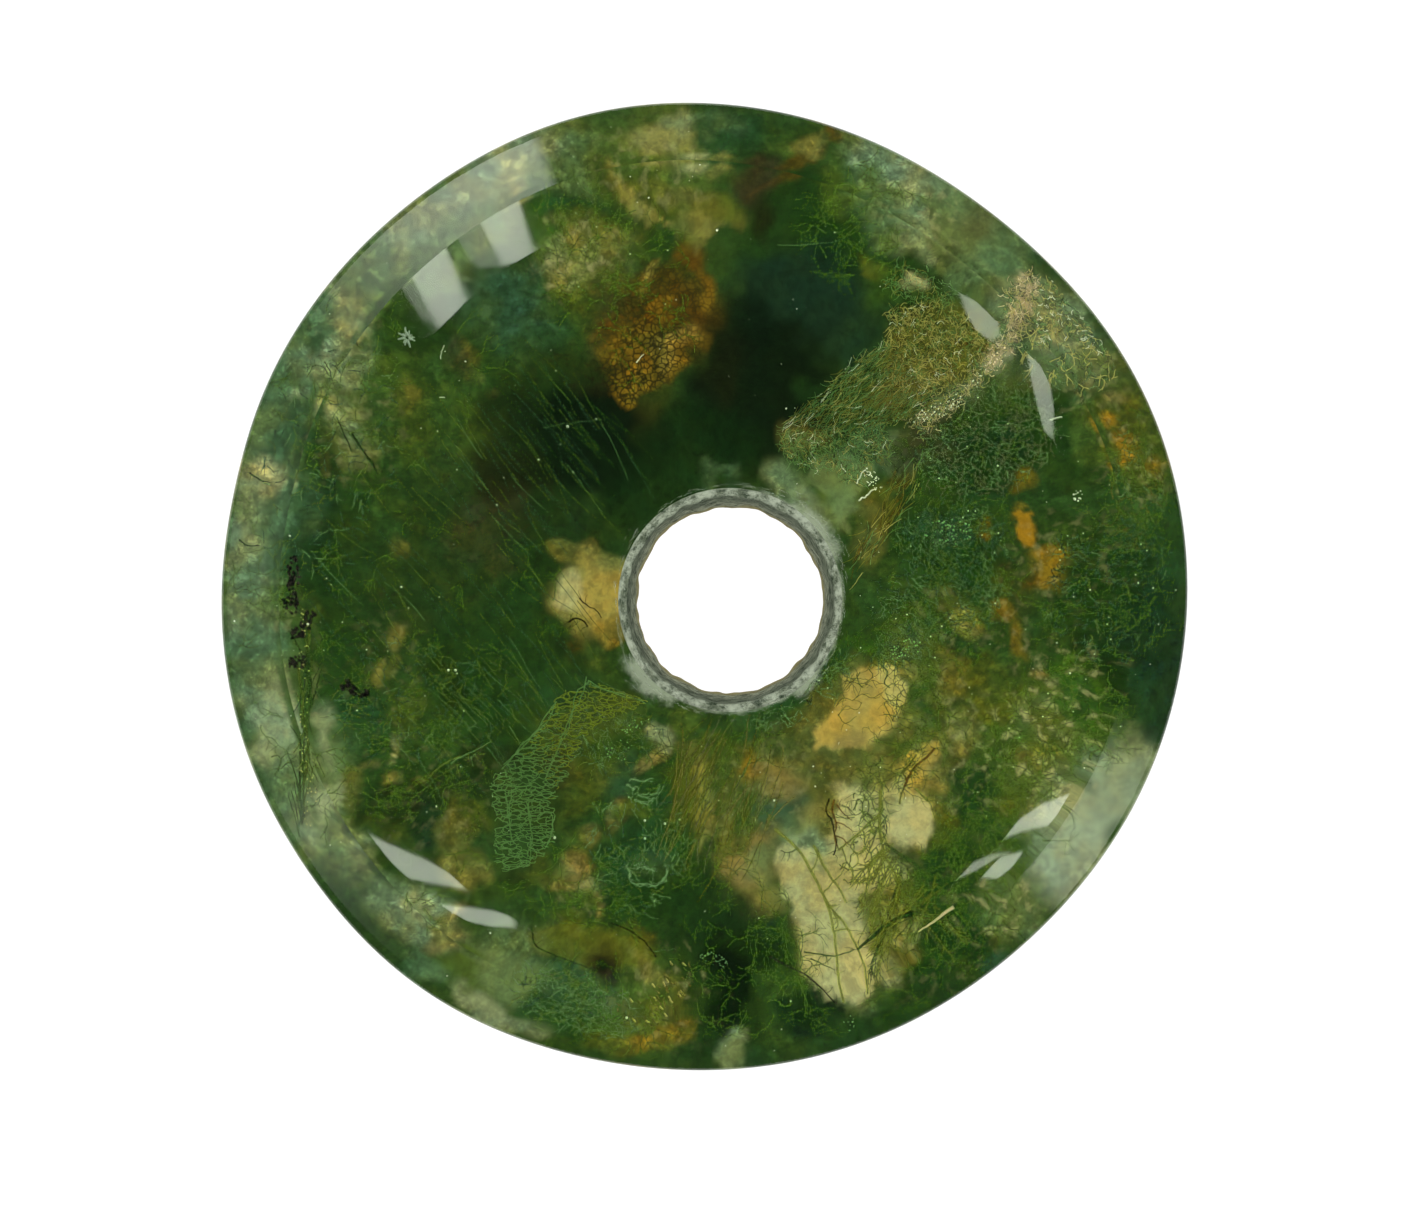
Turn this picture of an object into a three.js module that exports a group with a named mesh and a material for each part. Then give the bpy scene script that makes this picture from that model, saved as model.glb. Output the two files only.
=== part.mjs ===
// A moss agate donut: a flat polished ring of one piece of stone, in millimetres, +Z up.
// It lies on its flat back, with the origin under the middle of its outline.
import * as THREE from "three";

const degrees = THREE.MathUtils.degToRad;

// The stone as it was cut
const diameter = 40;
const thickness = 6;
const waistDiameter = 7.7; // the hole at mid height, where the cuts from the two faces meet
const mouthDiameter = 9.25; // the hole, where it opens onto a face
const holeOffset = new THREE.Vector2(1.05, -0.54); // the hole was drilled a little off centre

// The section. A slope is how far the surface has turned down from level.
const mouthBevel = 0.34; // width and depth of the frosted bevel round each mouth
const flatEdgeRadius = 14.6; // the upper face is flat out to here
const ridgeRadius = 17.6; // the ridge where the face gives way to the bevelled edge
const ridgeSlopes = [degrees(21), degrees(31)]; // just inside the ridge and just outside it
const bevelRadius = 19.9; // where the bevelled edge rounds over into the rim
const bevelSlope = degrees(40);
const backRounding = 1; // radius between the rim and the flat back

// Fineness of the facets
const stepsAround = 108;
const shoulderSteps = 4;
const bevelSteps = 3;
const rimSteps = 4;

// The outline was ground by hand: where it stands proud of a true circle or is worn flatter,
// each with its direction and half width in degrees
const outlineSpots = [
  { direction: 52, height: -0.48, width: 24 },
  { direction: 105, height: 0.17, width: 17 },
  { direction: 168, height: -0.12, width: 11 },
  { direction: 200, height: 0.14, width: 16 },
  { direction: 234, height: 0.34, width: 20 },
  { direction: 312, height: -0.16, width: 20 },
];

const outerRadius = diameter / 2;
const waistRadius = waistDiameter / 2;
const mouthRadius = mouthDiameter / 2;

// Carries a section on in an arc out to a radius, while its slope turns from one angle to another
function arcTo(points, radius, slopeFrom, slopeTo, steps) {
  const start = points[points.length - 1];
  const bend = (radius - start.x) / (Math.sin(slopeTo) - Math.sin(slopeFrom));
  for (let i = 1; i <= steps; i++) {
    const slope = THREE.MathUtils.lerp(slopeFrom, slopeTo, i / steps);
    const across = bend * (Math.sin(slope) - Math.sin(slopeFrom));
    const down = bend * (Math.cos(slopeFrom) - Math.cos(slope));
    points.push(new THREE.Vector2(start.x + across, start.y - down));
  }
}

// The section from the hole's waist over the upper face, the edge and the back, closed on itself
function stoneSection() {
  const upright = degrees(90);
  const points = [
    new THREE.Vector2(waistRadius, thickness / 2),
    new THREE.Vector2(mouthRadius - mouthBevel, thickness - mouthBevel),
    new THREE.Vector2(mouthRadius, thickness),
    new THREE.Vector2(flatEdgeRadius, thickness),
  ];
  arcTo(points, ridgeRadius, 0, ridgeSlopes[0], shoulderSteps);
  arcTo(points, bevelRadius, ridgeSlopes[1], bevelSlope, bevelSteps);
  arcTo(points, outerRadius, bevelSlope, upright, rimSteps);
  points.push(new THREE.Vector2(outerRadius, backRounding));
  arcTo(points, outerRadius - backRounding, upright, 2 * upright, rimSteps);
  points.push(
    new THREE.Vector2(mouthRadius, 0),
    new THREE.Vector2(mouthRadius - mouthBevel, mouthBevel),
    points[0].clone(),
  );
  return points.reverse(); // the order that turns the faces outwards
}

// How far the outline stands out from a true circle in one direction, in degrees
function outlineHeight(direction) {
  let height = 0;
  for (const spot of outlineSpots) {
    const away = THREE.MathUtils.euclideanModulo(direction - spot.direction + 180, 360) - 180;
    height += spot.height * Math.exp(-((away / spot.width) ** 2));
  }
  return height;
}

// Moves the hole off centre and gives the rim its hand-ground outline. The faces stay flat.
function grindByHand(geometry) {
  const position = geometry.getAttribute("position");
  const point = new THREE.Vector3();
  for (let i = 0; i < position.count; i++) {
    point.fromBufferAttribute(position, i);
    const radius = Math.hypot(point.x, point.y);
    const direction = THREE.MathUtils.radToDeg(Math.atan2(point.y, point.x));
    const outwards = THREE.MathUtils.smoothstep(radius, mouthRadius, outerRadius);
    const nearHole = 1 - THREE.MathUtils.smoothstep(radius, mouthRadius, flatEdgeRadius);
    const stretch = 1 + (outlineHeight(direction) * outwards) / radius;
    point.x = point.x * stretch + holeOffset.x * nearHole;
    point.y = point.y * stretch + holeOffset.y * nearHole;
    position.setXYZ(i, point.x, point.y, point.z);
  }
  geometry.computeVertexNormals();
}

function makeDonut() {
  const geometry = new THREE.LatheGeometry(stoneSection(), stepsAround);
  geometry.rotateX(Math.PI / 2); // the lathe turns about Y, and the hole runs along Z
  grindByHand(geometry);
  geometry.center();
  const stone = new THREE.MeshStandardMaterial({ color: 0x4a6b38, roughness: 0.08, metalness: 0 });
  const donut = new THREE.Mesh(geometry, stone);
  donut.name = "donut";
  donut.position.z = thickness / 2; // the back lies at height 0
  return donut;
}

const part = new THREE.Group();
part.add(makeDonut());

export default part;
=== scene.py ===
import math

import bmesh
import bpy
import numpy as np
from mathutils import Matrix, Vector, geometry, noise


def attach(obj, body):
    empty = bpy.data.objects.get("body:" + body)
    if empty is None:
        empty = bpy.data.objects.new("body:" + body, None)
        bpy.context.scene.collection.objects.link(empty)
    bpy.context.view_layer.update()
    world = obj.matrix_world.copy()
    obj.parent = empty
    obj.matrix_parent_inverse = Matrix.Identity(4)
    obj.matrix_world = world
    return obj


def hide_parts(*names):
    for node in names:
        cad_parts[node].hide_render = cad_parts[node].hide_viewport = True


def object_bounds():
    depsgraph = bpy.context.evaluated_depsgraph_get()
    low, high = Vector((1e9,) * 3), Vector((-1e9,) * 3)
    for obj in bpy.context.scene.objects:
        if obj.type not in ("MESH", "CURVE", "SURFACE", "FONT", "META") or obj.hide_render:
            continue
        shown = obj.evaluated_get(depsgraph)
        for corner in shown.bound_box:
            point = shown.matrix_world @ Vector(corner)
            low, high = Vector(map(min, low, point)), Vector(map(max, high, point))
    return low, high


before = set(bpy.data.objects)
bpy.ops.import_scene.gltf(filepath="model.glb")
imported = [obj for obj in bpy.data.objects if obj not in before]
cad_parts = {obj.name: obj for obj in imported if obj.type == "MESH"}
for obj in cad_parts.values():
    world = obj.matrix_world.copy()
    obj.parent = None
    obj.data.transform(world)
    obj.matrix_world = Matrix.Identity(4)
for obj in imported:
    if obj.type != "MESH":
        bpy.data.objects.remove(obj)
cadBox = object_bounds()
mm = 0.001

# the photo's own frame: places inside the stone are given in its pixels, and made millimetres here
photo = {"width": 1422, "height": 1222, "centre": (704.5, 586.5), "pixelsPerMm": 24.15}


def across(x):
    return (x - photo["centre"][0]) / photo["pixelsPerMm"]


def upwards(y):
    return (photo["centre"][1] - y) / photo["pixelsPerMm"]


# colours of the stone, as an eye sees them on a screen (0 to 255)
finishes = {
    "ink": (8, 24, 7),
    "night": (14, 38, 10),
    "dusk": (22, 46, 28),
    "deep": (30, 58, 18),
    "verdant": (46, 72, 26),
    "pine": (38, 72, 36),
    "teal": (56, 86, 58),
    "moss": (56, 82, 32),
    "grass": (62, 98, 20),
    "leaf": (88, 108, 40),
    "haze": (88, 116, 74),
    "sage": (108, 126, 74),
    "milk": (138, 152, 112),
    "cream": (176, 172, 116),
    "fresh": (80, 108, 36),
    "twig": (114, 124, 42),
    "drab": (96, 104, 66),
    "straw": (140, 134, 66),
    "tan": (132, 118, 64),
    "gold": (176, 150, 66),
    "amber": (150, 116, 26),
    "olive": (92, 98, 28),
    "khaki": (112, 110, 48),
    "rust": (92, 66, 14),
    "umber": (30, 30, 8),
    "bark": (62, 58, 34),
    "hay": (176, 168, 98),
    "fern": (98, 132, 78),
    "mint": (120, 156, 104),
    "peach": (226, 206, 164),
    "ash": (222, 228, 204),
    "frost": (172, 182, 160),
    "steel": (160, 172, 160),
    # waist: the warm wall deep in the hole, its own colour made lighter as painted light against the shade
    # there
    "waist": (150, 140, 84),
    "coal": (38, 36, 30),
    "clay": (172, 156, 118),
    "honey": (168, 150, 76),
}


def linear(rgb):
    # screen values to the light that they stand for
    values = [c / 255 for c in rgb]
    return tuple(c / 12.92 if c <= 0.04045 else ((c + 0.055) / 1.055) ** 2.4 for c in values)


def finish(name):
    return (*linear(finishes[name]), 1)


def addObject(name, data):
    made = bpy.data.objects.new(name, data)
    bpy.context.scene.collection.objects.link(made)
    return made


def addMesh(name, bm):
    mesh = bpy.data.meshes.new(name)
    bm.to_mesh(mesh)
    bm.free()
    return addObject(name, mesh)


def keepPiece(piece, *materials):
    # every piece is part of the one stone
    for material in materials:
        piece.data.materials.append(material)
    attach(piece, "root")


# camera, straight above, framed as the photo is
view = {"height": 1.2, "sensor": 36.0, "clip": (0.01, 20)}


def makeCamera():
    data = bpy.data.cameras.new("camera")
    camera = addObject("camera", data)
    frameWidth = photo["width"] / photo["pixelsPerMm"] * mm
    data.sensor_width = view["sensor"]
    data.lens = view["sensor"] * (view["height"] - cadBox[1][2] / 2) / frameWidth
    data.clip_start, data.clip_end = view["clip"]
    middle = (across(photo["width"] / 2), upwards(photo["height"] / 2))
    camera.location = (middle[0] * mm, middle[1] * mm, view["height"])
    bpy.context.scene.camera = camera


# the stone's own shape, in millimetres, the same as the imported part
donut = {
    "radius": 20.0,
    "thickness": 6.0,
    "waistRadius": 3.85,
    "mouthRadius": 4.625,
    "mouthBevel": 0.34,
    "flatEdge": 14.6,
    "ridge": 17.6,
    "ridgeSlopes": (21, 31),
    "bevelEnd": 19.9,
    "bevelSlope": 40,
    "backRounding": 1.0,
    "holeOffset": (1.05, -0.54),
    "holeCentre": (1.05, -0.56),
    "stepsAround": 480,
    "polish": 0.9997,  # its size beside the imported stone, so that it stays inside
    "steps": {"wall": 12, "mouth": 3, "face": 20, "shoulder": 14, "bevel": 9, "rim": 8, "back": 96},
}
# where the hand-ground outline stands out from a circle: direction, height, half width in degrees
outlineSpots = [
    (52, -0.48, 24), (105, 0.17, 17), (168, -0.12, 11), (200, 0.14, 16), (234, 0.34, 20),
    (312, -0.16, 20),
]


def lineTo(section, end, steps):
    start = section[-1].copy()
    for i in range(1, steps + 1):
        section.append(start.lerp(Vector(end), i / steps))


def arcTo(section, radius, slopeFrom, slopeTo, steps):
    # on in an arc out to a radius, while the slope turns from one angle to the other
    start = section[-1].copy()
    slopeFrom, slopeTo = math.radians(slopeFrom), math.radians(slopeTo)
    bend = (radius - start.x) / (math.sin(slopeTo) - math.sin(slopeFrom))
    for i in range(1, steps + 1):
        slope = slopeFrom + (slopeTo - slopeFrom) * i / steps
        out = bend * (math.sin(slope) - math.sin(slopeFrom))
        down = bend * (math.cos(slopeFrom) - math.cos(slope))
        section.append(Vector((start.x + out, start.y - down)))


def stoneSection():
    d = donut
    top = d["thickness"]
    steps = d["steps"]
    wallRadius = d["mouthRadius"] - d["mouthBevel"]
    section = [Vector((d["waistRadius"], top / 2))]
    lineTo(section, (wallRadius, top - d["mouthBevel"]), steps["wall"])
    lineTo(section, (d["mouthRadius"], top), steps["mouth"])
    lineTo(section, (d["flatEdge"], top), steps["face"])
    arcTo(section, d["ridge"], 0, d["ridgeSlopes"][0], steps["shoulder"])
    arcTo(section, d["bevelEnd"], d["ridgeSlopes"][1], d["bevelSlope"], steps["bevel"])
    arcTo(section, d["radius"], d["bevelSlope"], 90, steps["rim"])
    lineTo(section, (d["radius"], d["backRounding"]), steps["rim"])
    arcTo(section, d["radius"] - d["backRounding"], 90, 180, steps["rim"])
    lineTo(section, (d["mouthRadius"], 0), steps["back"])
    lineTo(section, (wallRadius, d["mouthBevel"]), steps["mouth"])
    lineTo(section, (d["waistRadius"], top / 2), steps["wall"])
    return section[:-1]


def ease(t):
    # from 0 to 1, soft at both ends
    return t * t * (3 - 2 * t)


def easeBetween(value, low, high):
    return ease(np.clip((value - low) / (high - low), 0, 1))


def outlineHeight(direction):
    height = 0
    for spotDirection, spotHeight, width in outlineSpots:
        away = (direction - spotDirection + 180) % 360 - 180
        height = height + spotHeight * np.exp(-((away / width) ** 2))
    return height


def grindByHand(bm):
    # the hole off centre, and the outline as it was ground
    d = donut
    for v in bm.verts:
        radius = math.hypot(v.co.x, v.co.y)
        direction = math.degrees(math.atan2(v.co.y, v.co.x))
        outwards = easeBetween(radius, d["mouthRadius"], d["radius"])
        nearHole = 1 - easeBetween(radius, d["mouthRadius"], d["flatEdge"])
        stretch = 1 + outlineHeight(direction) * outwards / radius
        v.co.x = v.co.x * stretch + d["holeOffset"][0] * nearHole
        v.co.y = v.co.y * stretch + d["holeOffset"][1] * nearHole


# the wall of the hole, drilled from both faces and left rough
holeWall = {"chatter": 0.1, "chatterScale": (5.12, 2.4), "grain": 0.05, "grainScale": (9, 26),
            "edge": 0.12}


def isWall(co):
    away = math.hypot(co.x - donut["holeCentre"][0], co.y - donut["holeCentre"][1])
    return away < donut["mouthRadius"] + 0.02


def roughenWall(bm):
    centre = Vector((*donut["holeCentre"], 0))
    for v in bm.verts:
        if not isWall(v.co):
            continue
        out = Vector((v.co.x, v.co.y, 0)) - centre
        radius = out.length
        angle = math.atan2(out.y, out.x)
        depth = v.co.z / donut["thickness"]
        inside = 1 - easeBetween(radius, donut["mouthRadius"] - holeWall["edge"], donut["mouthRadius"])
        push = 0
        for size, (around, down) in ((holeWall["chatter"], holeWall["chatterScale"]),
                                     (holeWall["grain"], holeWall["grainScale"])):
            push += size * noise.noise((math.cos(angle) * around, math.sin(angle) * around, depth * down))
        v.co += out.normalized() * push * inside


# what colours the stone: soft spots of colour, each an ellipse in the photo's pixels. Along the rim the
# milky spots are partly painted light, and one dark spot beside the vein is a painted shadow
# middle x, middle y, half length, half width, turn in degrees, colour, strength, softness if not usual
spots = {
    # the milky haze along the left rim is partly the stone's own milk and partly painted light: the sheen
    # of the grazing rim and the light through its thin edge
    "left rim": [
        (262, 520, 170, 48, 90, "haze", 0.95, 0.5), (330, 340, 110, 60, 55, "haze", 0.8, 0.6),
        (268, 690, 120, 34, 98, "haze", 0.8, 0.6), (353, 322, 15, 13, 80, "cream", 0.85),
        (357, 296, 9, 14, 10, "cream", 0.6, 0.9), (330, 362, 22, 17, 20, "milk", 0.75),
        (345, 355, 14, 10, -60, "tan", 0.35), (357, 376, 11, 18, -20, "straw", 0.6),
        (292, 396, 12, 6, 20, "milk", 0.7), (316, 385, 12, 8, 0, "sage", 0.5, 0.9),
        (345, 411, 15, 9, 0, "cream", 0.65), (370, 428, 27, 17, -30, "tan", 0.75, 0.7),
        (372, 450, 11, 8, -40, "milk", 0.7), (332, 464, 8, 8, 0, "straw", 0.6),
        (270, 474, 17, 14, -40, "cream", 0.75, 0.7), (252, 494, 14, 9, 60, "milk", 0.6),
        (251, 536, 11, 21, 5, "milk", 0.85, 0.7), (256, 590, 14, 24, 0, "milk", 0.5),
        (308, 512, 14, 10, 0, "leaf", 0.5, 0.9), (305, 440, 24, 34, 0, "pine", 0.6),
        (330, 500, 24, 60, 0, "dusk", 0.7), (322, 565, 30, 60, 0, "dusk", 0.75),
        (298, 590, 10, 40, 0, "pine", 0.7), (345, 620, 30, 60, 0, "deep", 0.7),
        (276, 735, 20, 46, 5, "milk", 0.9, 0.5), (286, 770, 16, 30, 5, "sage", 0.6, 0.7),
        (260, 675, 16, 12, 0, "sage", 0.6, 0.9), (240, 650, 20, 26, 0, "pine", 0.4, 0.9),
        (309, 735, 6, 62, 3, "moss", 0.85, 0.7), (321, 735, 7, 20, 0, "sage", 0.8),
        (326, 790, 15, 17, -30, "milk", 0.8, 0.7), (318, 828, 10, 18, 0, "sage", 0.7),
        (300, 812, 8, 30, 20, "leaf", 0.6), (338, 745, 10, 50, 0, "pine", 0.5, 0.9),
        (284, 830, 20, 30, 30, "haze", 0.6), (318, 798, 34, 52, -12, "sage", 0.7, 0.7),
        (330, 748, 22, 30, 0, "haze", 0.5), (304, 506, 30, 30, 0, "haze", 0.45),
        (255, 600, 26, 110, 0, "haze", 0.6, 0.6), (250, 560, 20, 90, 0, "milk", 0.35),
        (240, 610, 14, 60, 0, "haze", 0.7), (350, 308, 16, 24, 10, "cream", 0.75, 0.7),
        (336, 362, 20, 24, 10, "milk", 0.6), (350, 414, 18, 12, 0, "cream", 0.55),
        (272, 480, 18, 14, 30, "cream", 0.6), (322, 735, 8, 26, 0, "milk", 0.55),
        (327, 792, 12, 20, -20, "milk", 0.75, 0.7), (318, 820, 16, 16, 0, "milk", 0.6),
        (345, 830, 26, 16, -40, "haze", 0.5), (360, 422, 34, 34, 0, "khaki", 0.4),
        (302, 752, 9, 26, 0, "haze", 0.5), (300, 362, 20, 18, 0, "milk", 0.4),
        (238, 604, 14, 30, 0, "milk", 0.4), (345, 372, 30, 24, 30, "milk", 0.35),
        (362, 425, 26, 30, 0, "sage", 0.5), (318, 620, 9, 20, 0, "leaf", 0.4),
        (270, 706, 22, 40, 5, "milk", 0.5), (301, 756, 8, 26, 0, "sage", 0.6),
        (240, 544, 14, 24, 0, "milk", 0.5), (300, 762, 12, 28, 0, "milk", 0.4),
        (362, 434, 16, 26, 10, "milk", 0.3), (332, 870, 14, 14, 0, "moss", 0.5),
    ],
    "upper left": [
        (440, 235, 130, 52, 42, "sage", 0.75, 0.6), (505, 172, 36, 9, -62, "cream", 0.8),
        (412, 222, 26, 15, 40, "milk", 0.7), (378, 262, 22, 14, 40, "haze", 0.5),
        (402, 312, 30, 34, -30, "grass", 0.6, 0.7), (402, 320, 26, 34, -30, "deep", 0.75),
        (440, 330, 46, 26, 20, "deep", 0.5, 0.9), (500, 305, 52, 34, 20, "teal", 0.85, 0.7),
        (490, 272, 24, 20, 0, "teal", 0.6), (530, 335, 40, 30, 0, "teal", 0.35, 0.9),
        (458, 356, 12, 12, 0, "bark", 0.8), (471, 362, 9, 12, -20, "khaki", 0.6),
        (430, 405, 60, 50, 0, "moss", 0.8), (408, 395, 14, 16, 0, "khaki", 0.3, 0.9),
        (388, 375, 14, 26, 0, "leaf", 0.45, 0.9), (418, 396, 6, 8, 0, "khaki", 0.6, 0.9),
        (498, 394, 7, 10, 20, "khaki", 0.7), (455, 420, 60, 40, 20, "olive", 0.18, 0.9),
        (570, 165, 36, 30, 0, "sage", 0.6), (560, 130, 18, 12, 0, "leaf", 0.5),
        (575, 214, 46, 13, 10, "pine", 0.8), (540, 232, 14, 26, 10, "grass", 0.6),
        (490, 176, 70, 22, 38, "milk", 0.75, 0.7), (572, 150, 34, 20, 10, "sage", 0.5),
        (540, 150, 24, 14, 30, "milk", 0.7), (566, 184, 18, 14, 0, "haze", 0.6),
    ],
    "left middle": [
        (470, 560, 120, 100, 40, "bark", 0.5), (450, 580, 120, 110, 40, "deep", 0.6),
        (510, 455, 36, 80, 0, "umber", 0.6, 0.9), (556, 392, 56, 38, 20, "umber", 0.65, 0.9),
        (540, 420, 60, 50, 20, "deep", 0.4, 0.9), (600, 442, 84, 56, 0, "ink", 0.97, 0.5),
        (560, 470, 50, 40, 0, "night", 0.7), (640, 500, 50, 30, 0, "night", 0.9, 0.7),
        (656, 412, 24, 50, 0, "umber", 0.5), (655, 408, 20, 44, 0, "olive", 0.2, 0.9),
        (490, 535, 40, 40, 0, "bark", 0.5), (399, 541, 8, 14, 0, "khaki", 0.55),
        (382, 505, 9, 9, 0, "leaf", 0.4, 0.9), (392, 638, 7, 14, 0, "straw", 0.55),
        (373, 674, 7, 13, 0, "straw", 0.5), (386, 665, 5, 9, 0, "khaki", 0.5, 0.9),
        (360, 718, 26, 30, 0, "pine", 0.7), (404, 712, 22, 20, 0, "olive", 0.45, 0.9),
        (430, 700, 40, 50, 0, "moss", 0.35, 0.9), (470, 660, 50, 60, 0, "deep", 0.6),
        (450, 690, 16, 30, 0, "umber", 0.4, 0.9), (545, 620, 40, 60, 10, "deep", 0.7),
        (580, 655, 34, 14, 10, "umber", 0.5), (588, 648, 20, 8, 10, "rust", 0.35, 0.9),
        (560, 540, 60, 34, 0, "night", 0.6), (590, 600, 34, 44, 0, "straw", 0.8, 0.5),
        (574, 595, 12, 24, 20, "cream", 0.75, 0.7), (600, 602, 16, 30, 0, "gold", 0.5, 0.7),
        (608, 632, 14, 12, 20, "amber", 0.5), (565, 553, 14, 11, -20, "khaki", 0.8, 0.7),
        (592, 560, 16, 10, -30, "straw", 0.6), (500, 745, 40, 22, 20, "deep", 0.7),
        (478, 775, 44, 20, 20, "umber", 0.6), (400, 798, 50, 18, 10, "umber", 0.65),
        (560, 690, 40, 10, 20, "pine", 0.5, 0.9), (532, 440, 56, 60, 0, "ink", 0.45),
        (572, 482, 30, 24, 0, "ink", 0.7), (392, 512, 20, 24, 0, "moss", 0.6),
        (512, 482, 34, 30, 0, "umber", 0.5), (590, 440, 60, 40, 0, "ink", 0.6),
    ],
    "top": [
        (655, 150, 74, 44, 0, "leaf", 0.85, 0.7), (660, 138, 40, 18, 0, "straw", 0.55),
        (655, 134, 30, 12, 0, "milk", 0.35), (690, 160, 11, 9, 0, "cream", 0.6),
        (692, 120, 10, 18, 0, "straw", 0.5), (645, 195, 40, 20, 0, "olive", 0.7),
        (650, 212, 5, 28, 35, "straw", 0.8, 0.7), (690, 200, 30, 14, -5, "khaki", 0.85, 0.7),
        (704, 222, 19, 12, 0, "straw", 0.5, 0.7), (733, 212, 10, 10, 0, "khaki", 0.6),
        (600, 228, 36, 18, 0, "olive", 0.6), (583, 262, 44, 32, 10, "straw", 0.75),
        (560, 262, 16, 22, 20, "cream", 0.3), (640, 262, 24, 20, 0, "moss", 0.6),
        (555, 300, 30, 16, 0, "moss", 0.5, 0.9), (590, 310, 24, 24, 0, "olive", 0.5, 0.9),
        (730, 138, 32, 30, 0, "pine", 0.9, 0.6), (615, 120, 30, 10, 10, "moss", 0.5),
        (716, 166, 13, 10, 0, "straw", 0.6), (690, 122, 14, 14, 0, "milk", 0.45),
        (722, 122, 16, 12, 0, "haze", 0.5), (690, 214, 30, 12, 0, "olive", 0.5),
        (726, 206, 14, 12, 0, "olive", 0.6), (690, 178, 18, 12, 0, "leaf", 0.6),
        (690, 240, 16, 14, 0, "olive", 0.6), (572, 182, 18, 14, 0, "haze", 0.5),
        (780, 150, 18, 14, 0, "leaf", 0.5),
    ],
    "orange stain": [
        (660, 320, 56, 50, 0, "rust", 0.75, 0.6), (615, 330, 26, 40, 0, "bark", 0.5),
        (662, 308, 16, 14, 0, "umber", 0.5), (682, 255, 22, 16, 0, "rust", 0.75),
        (645, 284, 5, 26, -8, "gold", 0.55), (701, 284, 8, 18, 0, "amber", 0.7),
        (640, 348, 44, 34, 0, "rust", 0.6, 0.7), (608, 348, 9, 9, 0, "amber", 0.75),
        (628, 376, 18, 16, 0, "amber", 0.8, 0.7), (624, 397, 12, 8, 0, "amber", 0.7),
        (656, 336, 8, 11, 0, "amber", 0.7), (676, 360, 14, 22, -20, "amber", 0.9, 0.6),
        (688, 344, 18, 6, 25, "gold", 0.8, 0.7), (705, 344, 9, 10, 0, "amber", 0.8, 0.7),
        (690, 310, 10, 20, 0, "umber", 0.5), (600, 385, 20, 18, 0, "umber", 0.6),
        (658, 322, 46, 40, 0, "rust", 0.7), (655, 352, 30, 24, 0, "amber", 0.5),
        (624, 345, 14, 14, 0, "amber", 0.65), (668, 312, 9, 14, 0, "amber", 0.5),
        (606, 366, 12, 18, 0, "umber", 0.6), (700, 270, 10, 20, 0, "rust", 0.6),
        (676, 338, 22, 8, 25, "gold", 0.6), (668, 362, 10, 14, -20, "gold", 0.5),
    ],
    "dark heart": [
        (800, 250, 66, 64, 0, "deep", 0.9, 0.6), (790, 295, 64, 50, 0, "dusk", 0.95, 0.6),
        (845, 330, 40, 30, 0, "dusk", 0.8, 0.7), (765, 400, 78, 80, 10, "ink", 0.97, 0.5),
        (740, 330, 36, 40, 0, "ink", 0.8, 0.7), (700, 450, 60, 40, 0, "night", 0.9, 0.6),
        (725, 370, 26, 40, 0, "umber", 0.3, 0.9), (757, 192, 15, 42, 8, "umber", 0.75, 0.7),
        (790, 163, 46, 5, 40, "rust", 0.75), (802, 142, 18, 11, 30, "straw", 0.75),
        (831, 132, 8, 5, 0, "rust", 0.8, 0.7), (795, 195, 30, 26, 0, "deep", 0.8, 0.7),
        (838, 182, 18, 42, 5, "leaf", 0.45), (850, 148, 16, 18, 0, "sage", 0.6),
        (865, 225, 14, 30, 0, "deep", 0.8, 0.7), (868, 268, 11, 14, 0, "olive", 0.8, 0.7),
        (752, 180, 20, 20, 0, "bark", 0.6), (722, 474, 18, 8, 0, "haze", 0.5),
        (540, 420, 18, 16, 0, "ink", 0.6),
    ],
    "upper right": [
        (960, 215, 110, 52, -38, "sage", 0.8, 0.5), (885, 195, 26, 50, 10, "sage", 0.75, 0.7),
        (905, 180, 18, 14, -20, "milk", 0.8), (925, 165, 24, 10, -30, "haze", 0.6),
        (900, 226, 22, 12, 0, "straw", 0.35, 0.9), (915, 250, 13, 8, 0, "milk", 0.7),
        (975, 224, 22, 16, -20, "bark", 0.4, 0.9), (955, 264, 40, 14, -30, "bark", 0.3, 0.9),
        (1006, 256, 28, 26, 0, "haze", 0.8), (1050, 270, 20, 26, 30, "pine", 0.8, 0.7),
        (894, 255, 26, 16, -20, "deep", 0.85, 0.7), (885, 285, 20, 18, 0, "grass", 0.4),
        (912, 281, 10, 6, 0, "cream", 0.9, 0.6), (935, 292, 30, 18, -20, "moss", 0.7),
        (932, 274, 14, 6, -10, "umber", 0.5), (985, 295, 40, 20, -40, "sage", 0.5),
        (878, 196, 30, 46, 10, "haze", 0.6), (898, 238, 26, 16, 0, "sage", 0.5),
        (990, 300, 26, 20, -40, "sage", 0.6), (908, 176, 36, 15, -32, "milk", 0.75, 0.7),
        (868, 156, 15, 16, -30, "milk", 0.6, 0.7), (1004, 310, 34, 20, -60, "milk", 0.5),
        (902, 222, 20, 26, 0, "milk", 0.5), (962, 268, 22, 14, -30, "sage", 0.6),
        (876, 182, 14, 14, 0, "sage", 0.6), (1022, 356, 22, 16, -40, "sage", 0.6),
        (1022, 360, 20, 14, -40, "milk", 0.5), (900, 182, 18, 14, 30, "milk", 0.4),
    ],
    "fibre mat": [
        (945, 350, 56, 42, 15, "olive", 0.85, 0.6), (932, 366, 34, 14, 10, "rust", 0.45),
        (950, 330, 20, 20, 0, "moss", 0.6), (915, 392, 30, 10, 10, "sage", 0.5),
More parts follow.
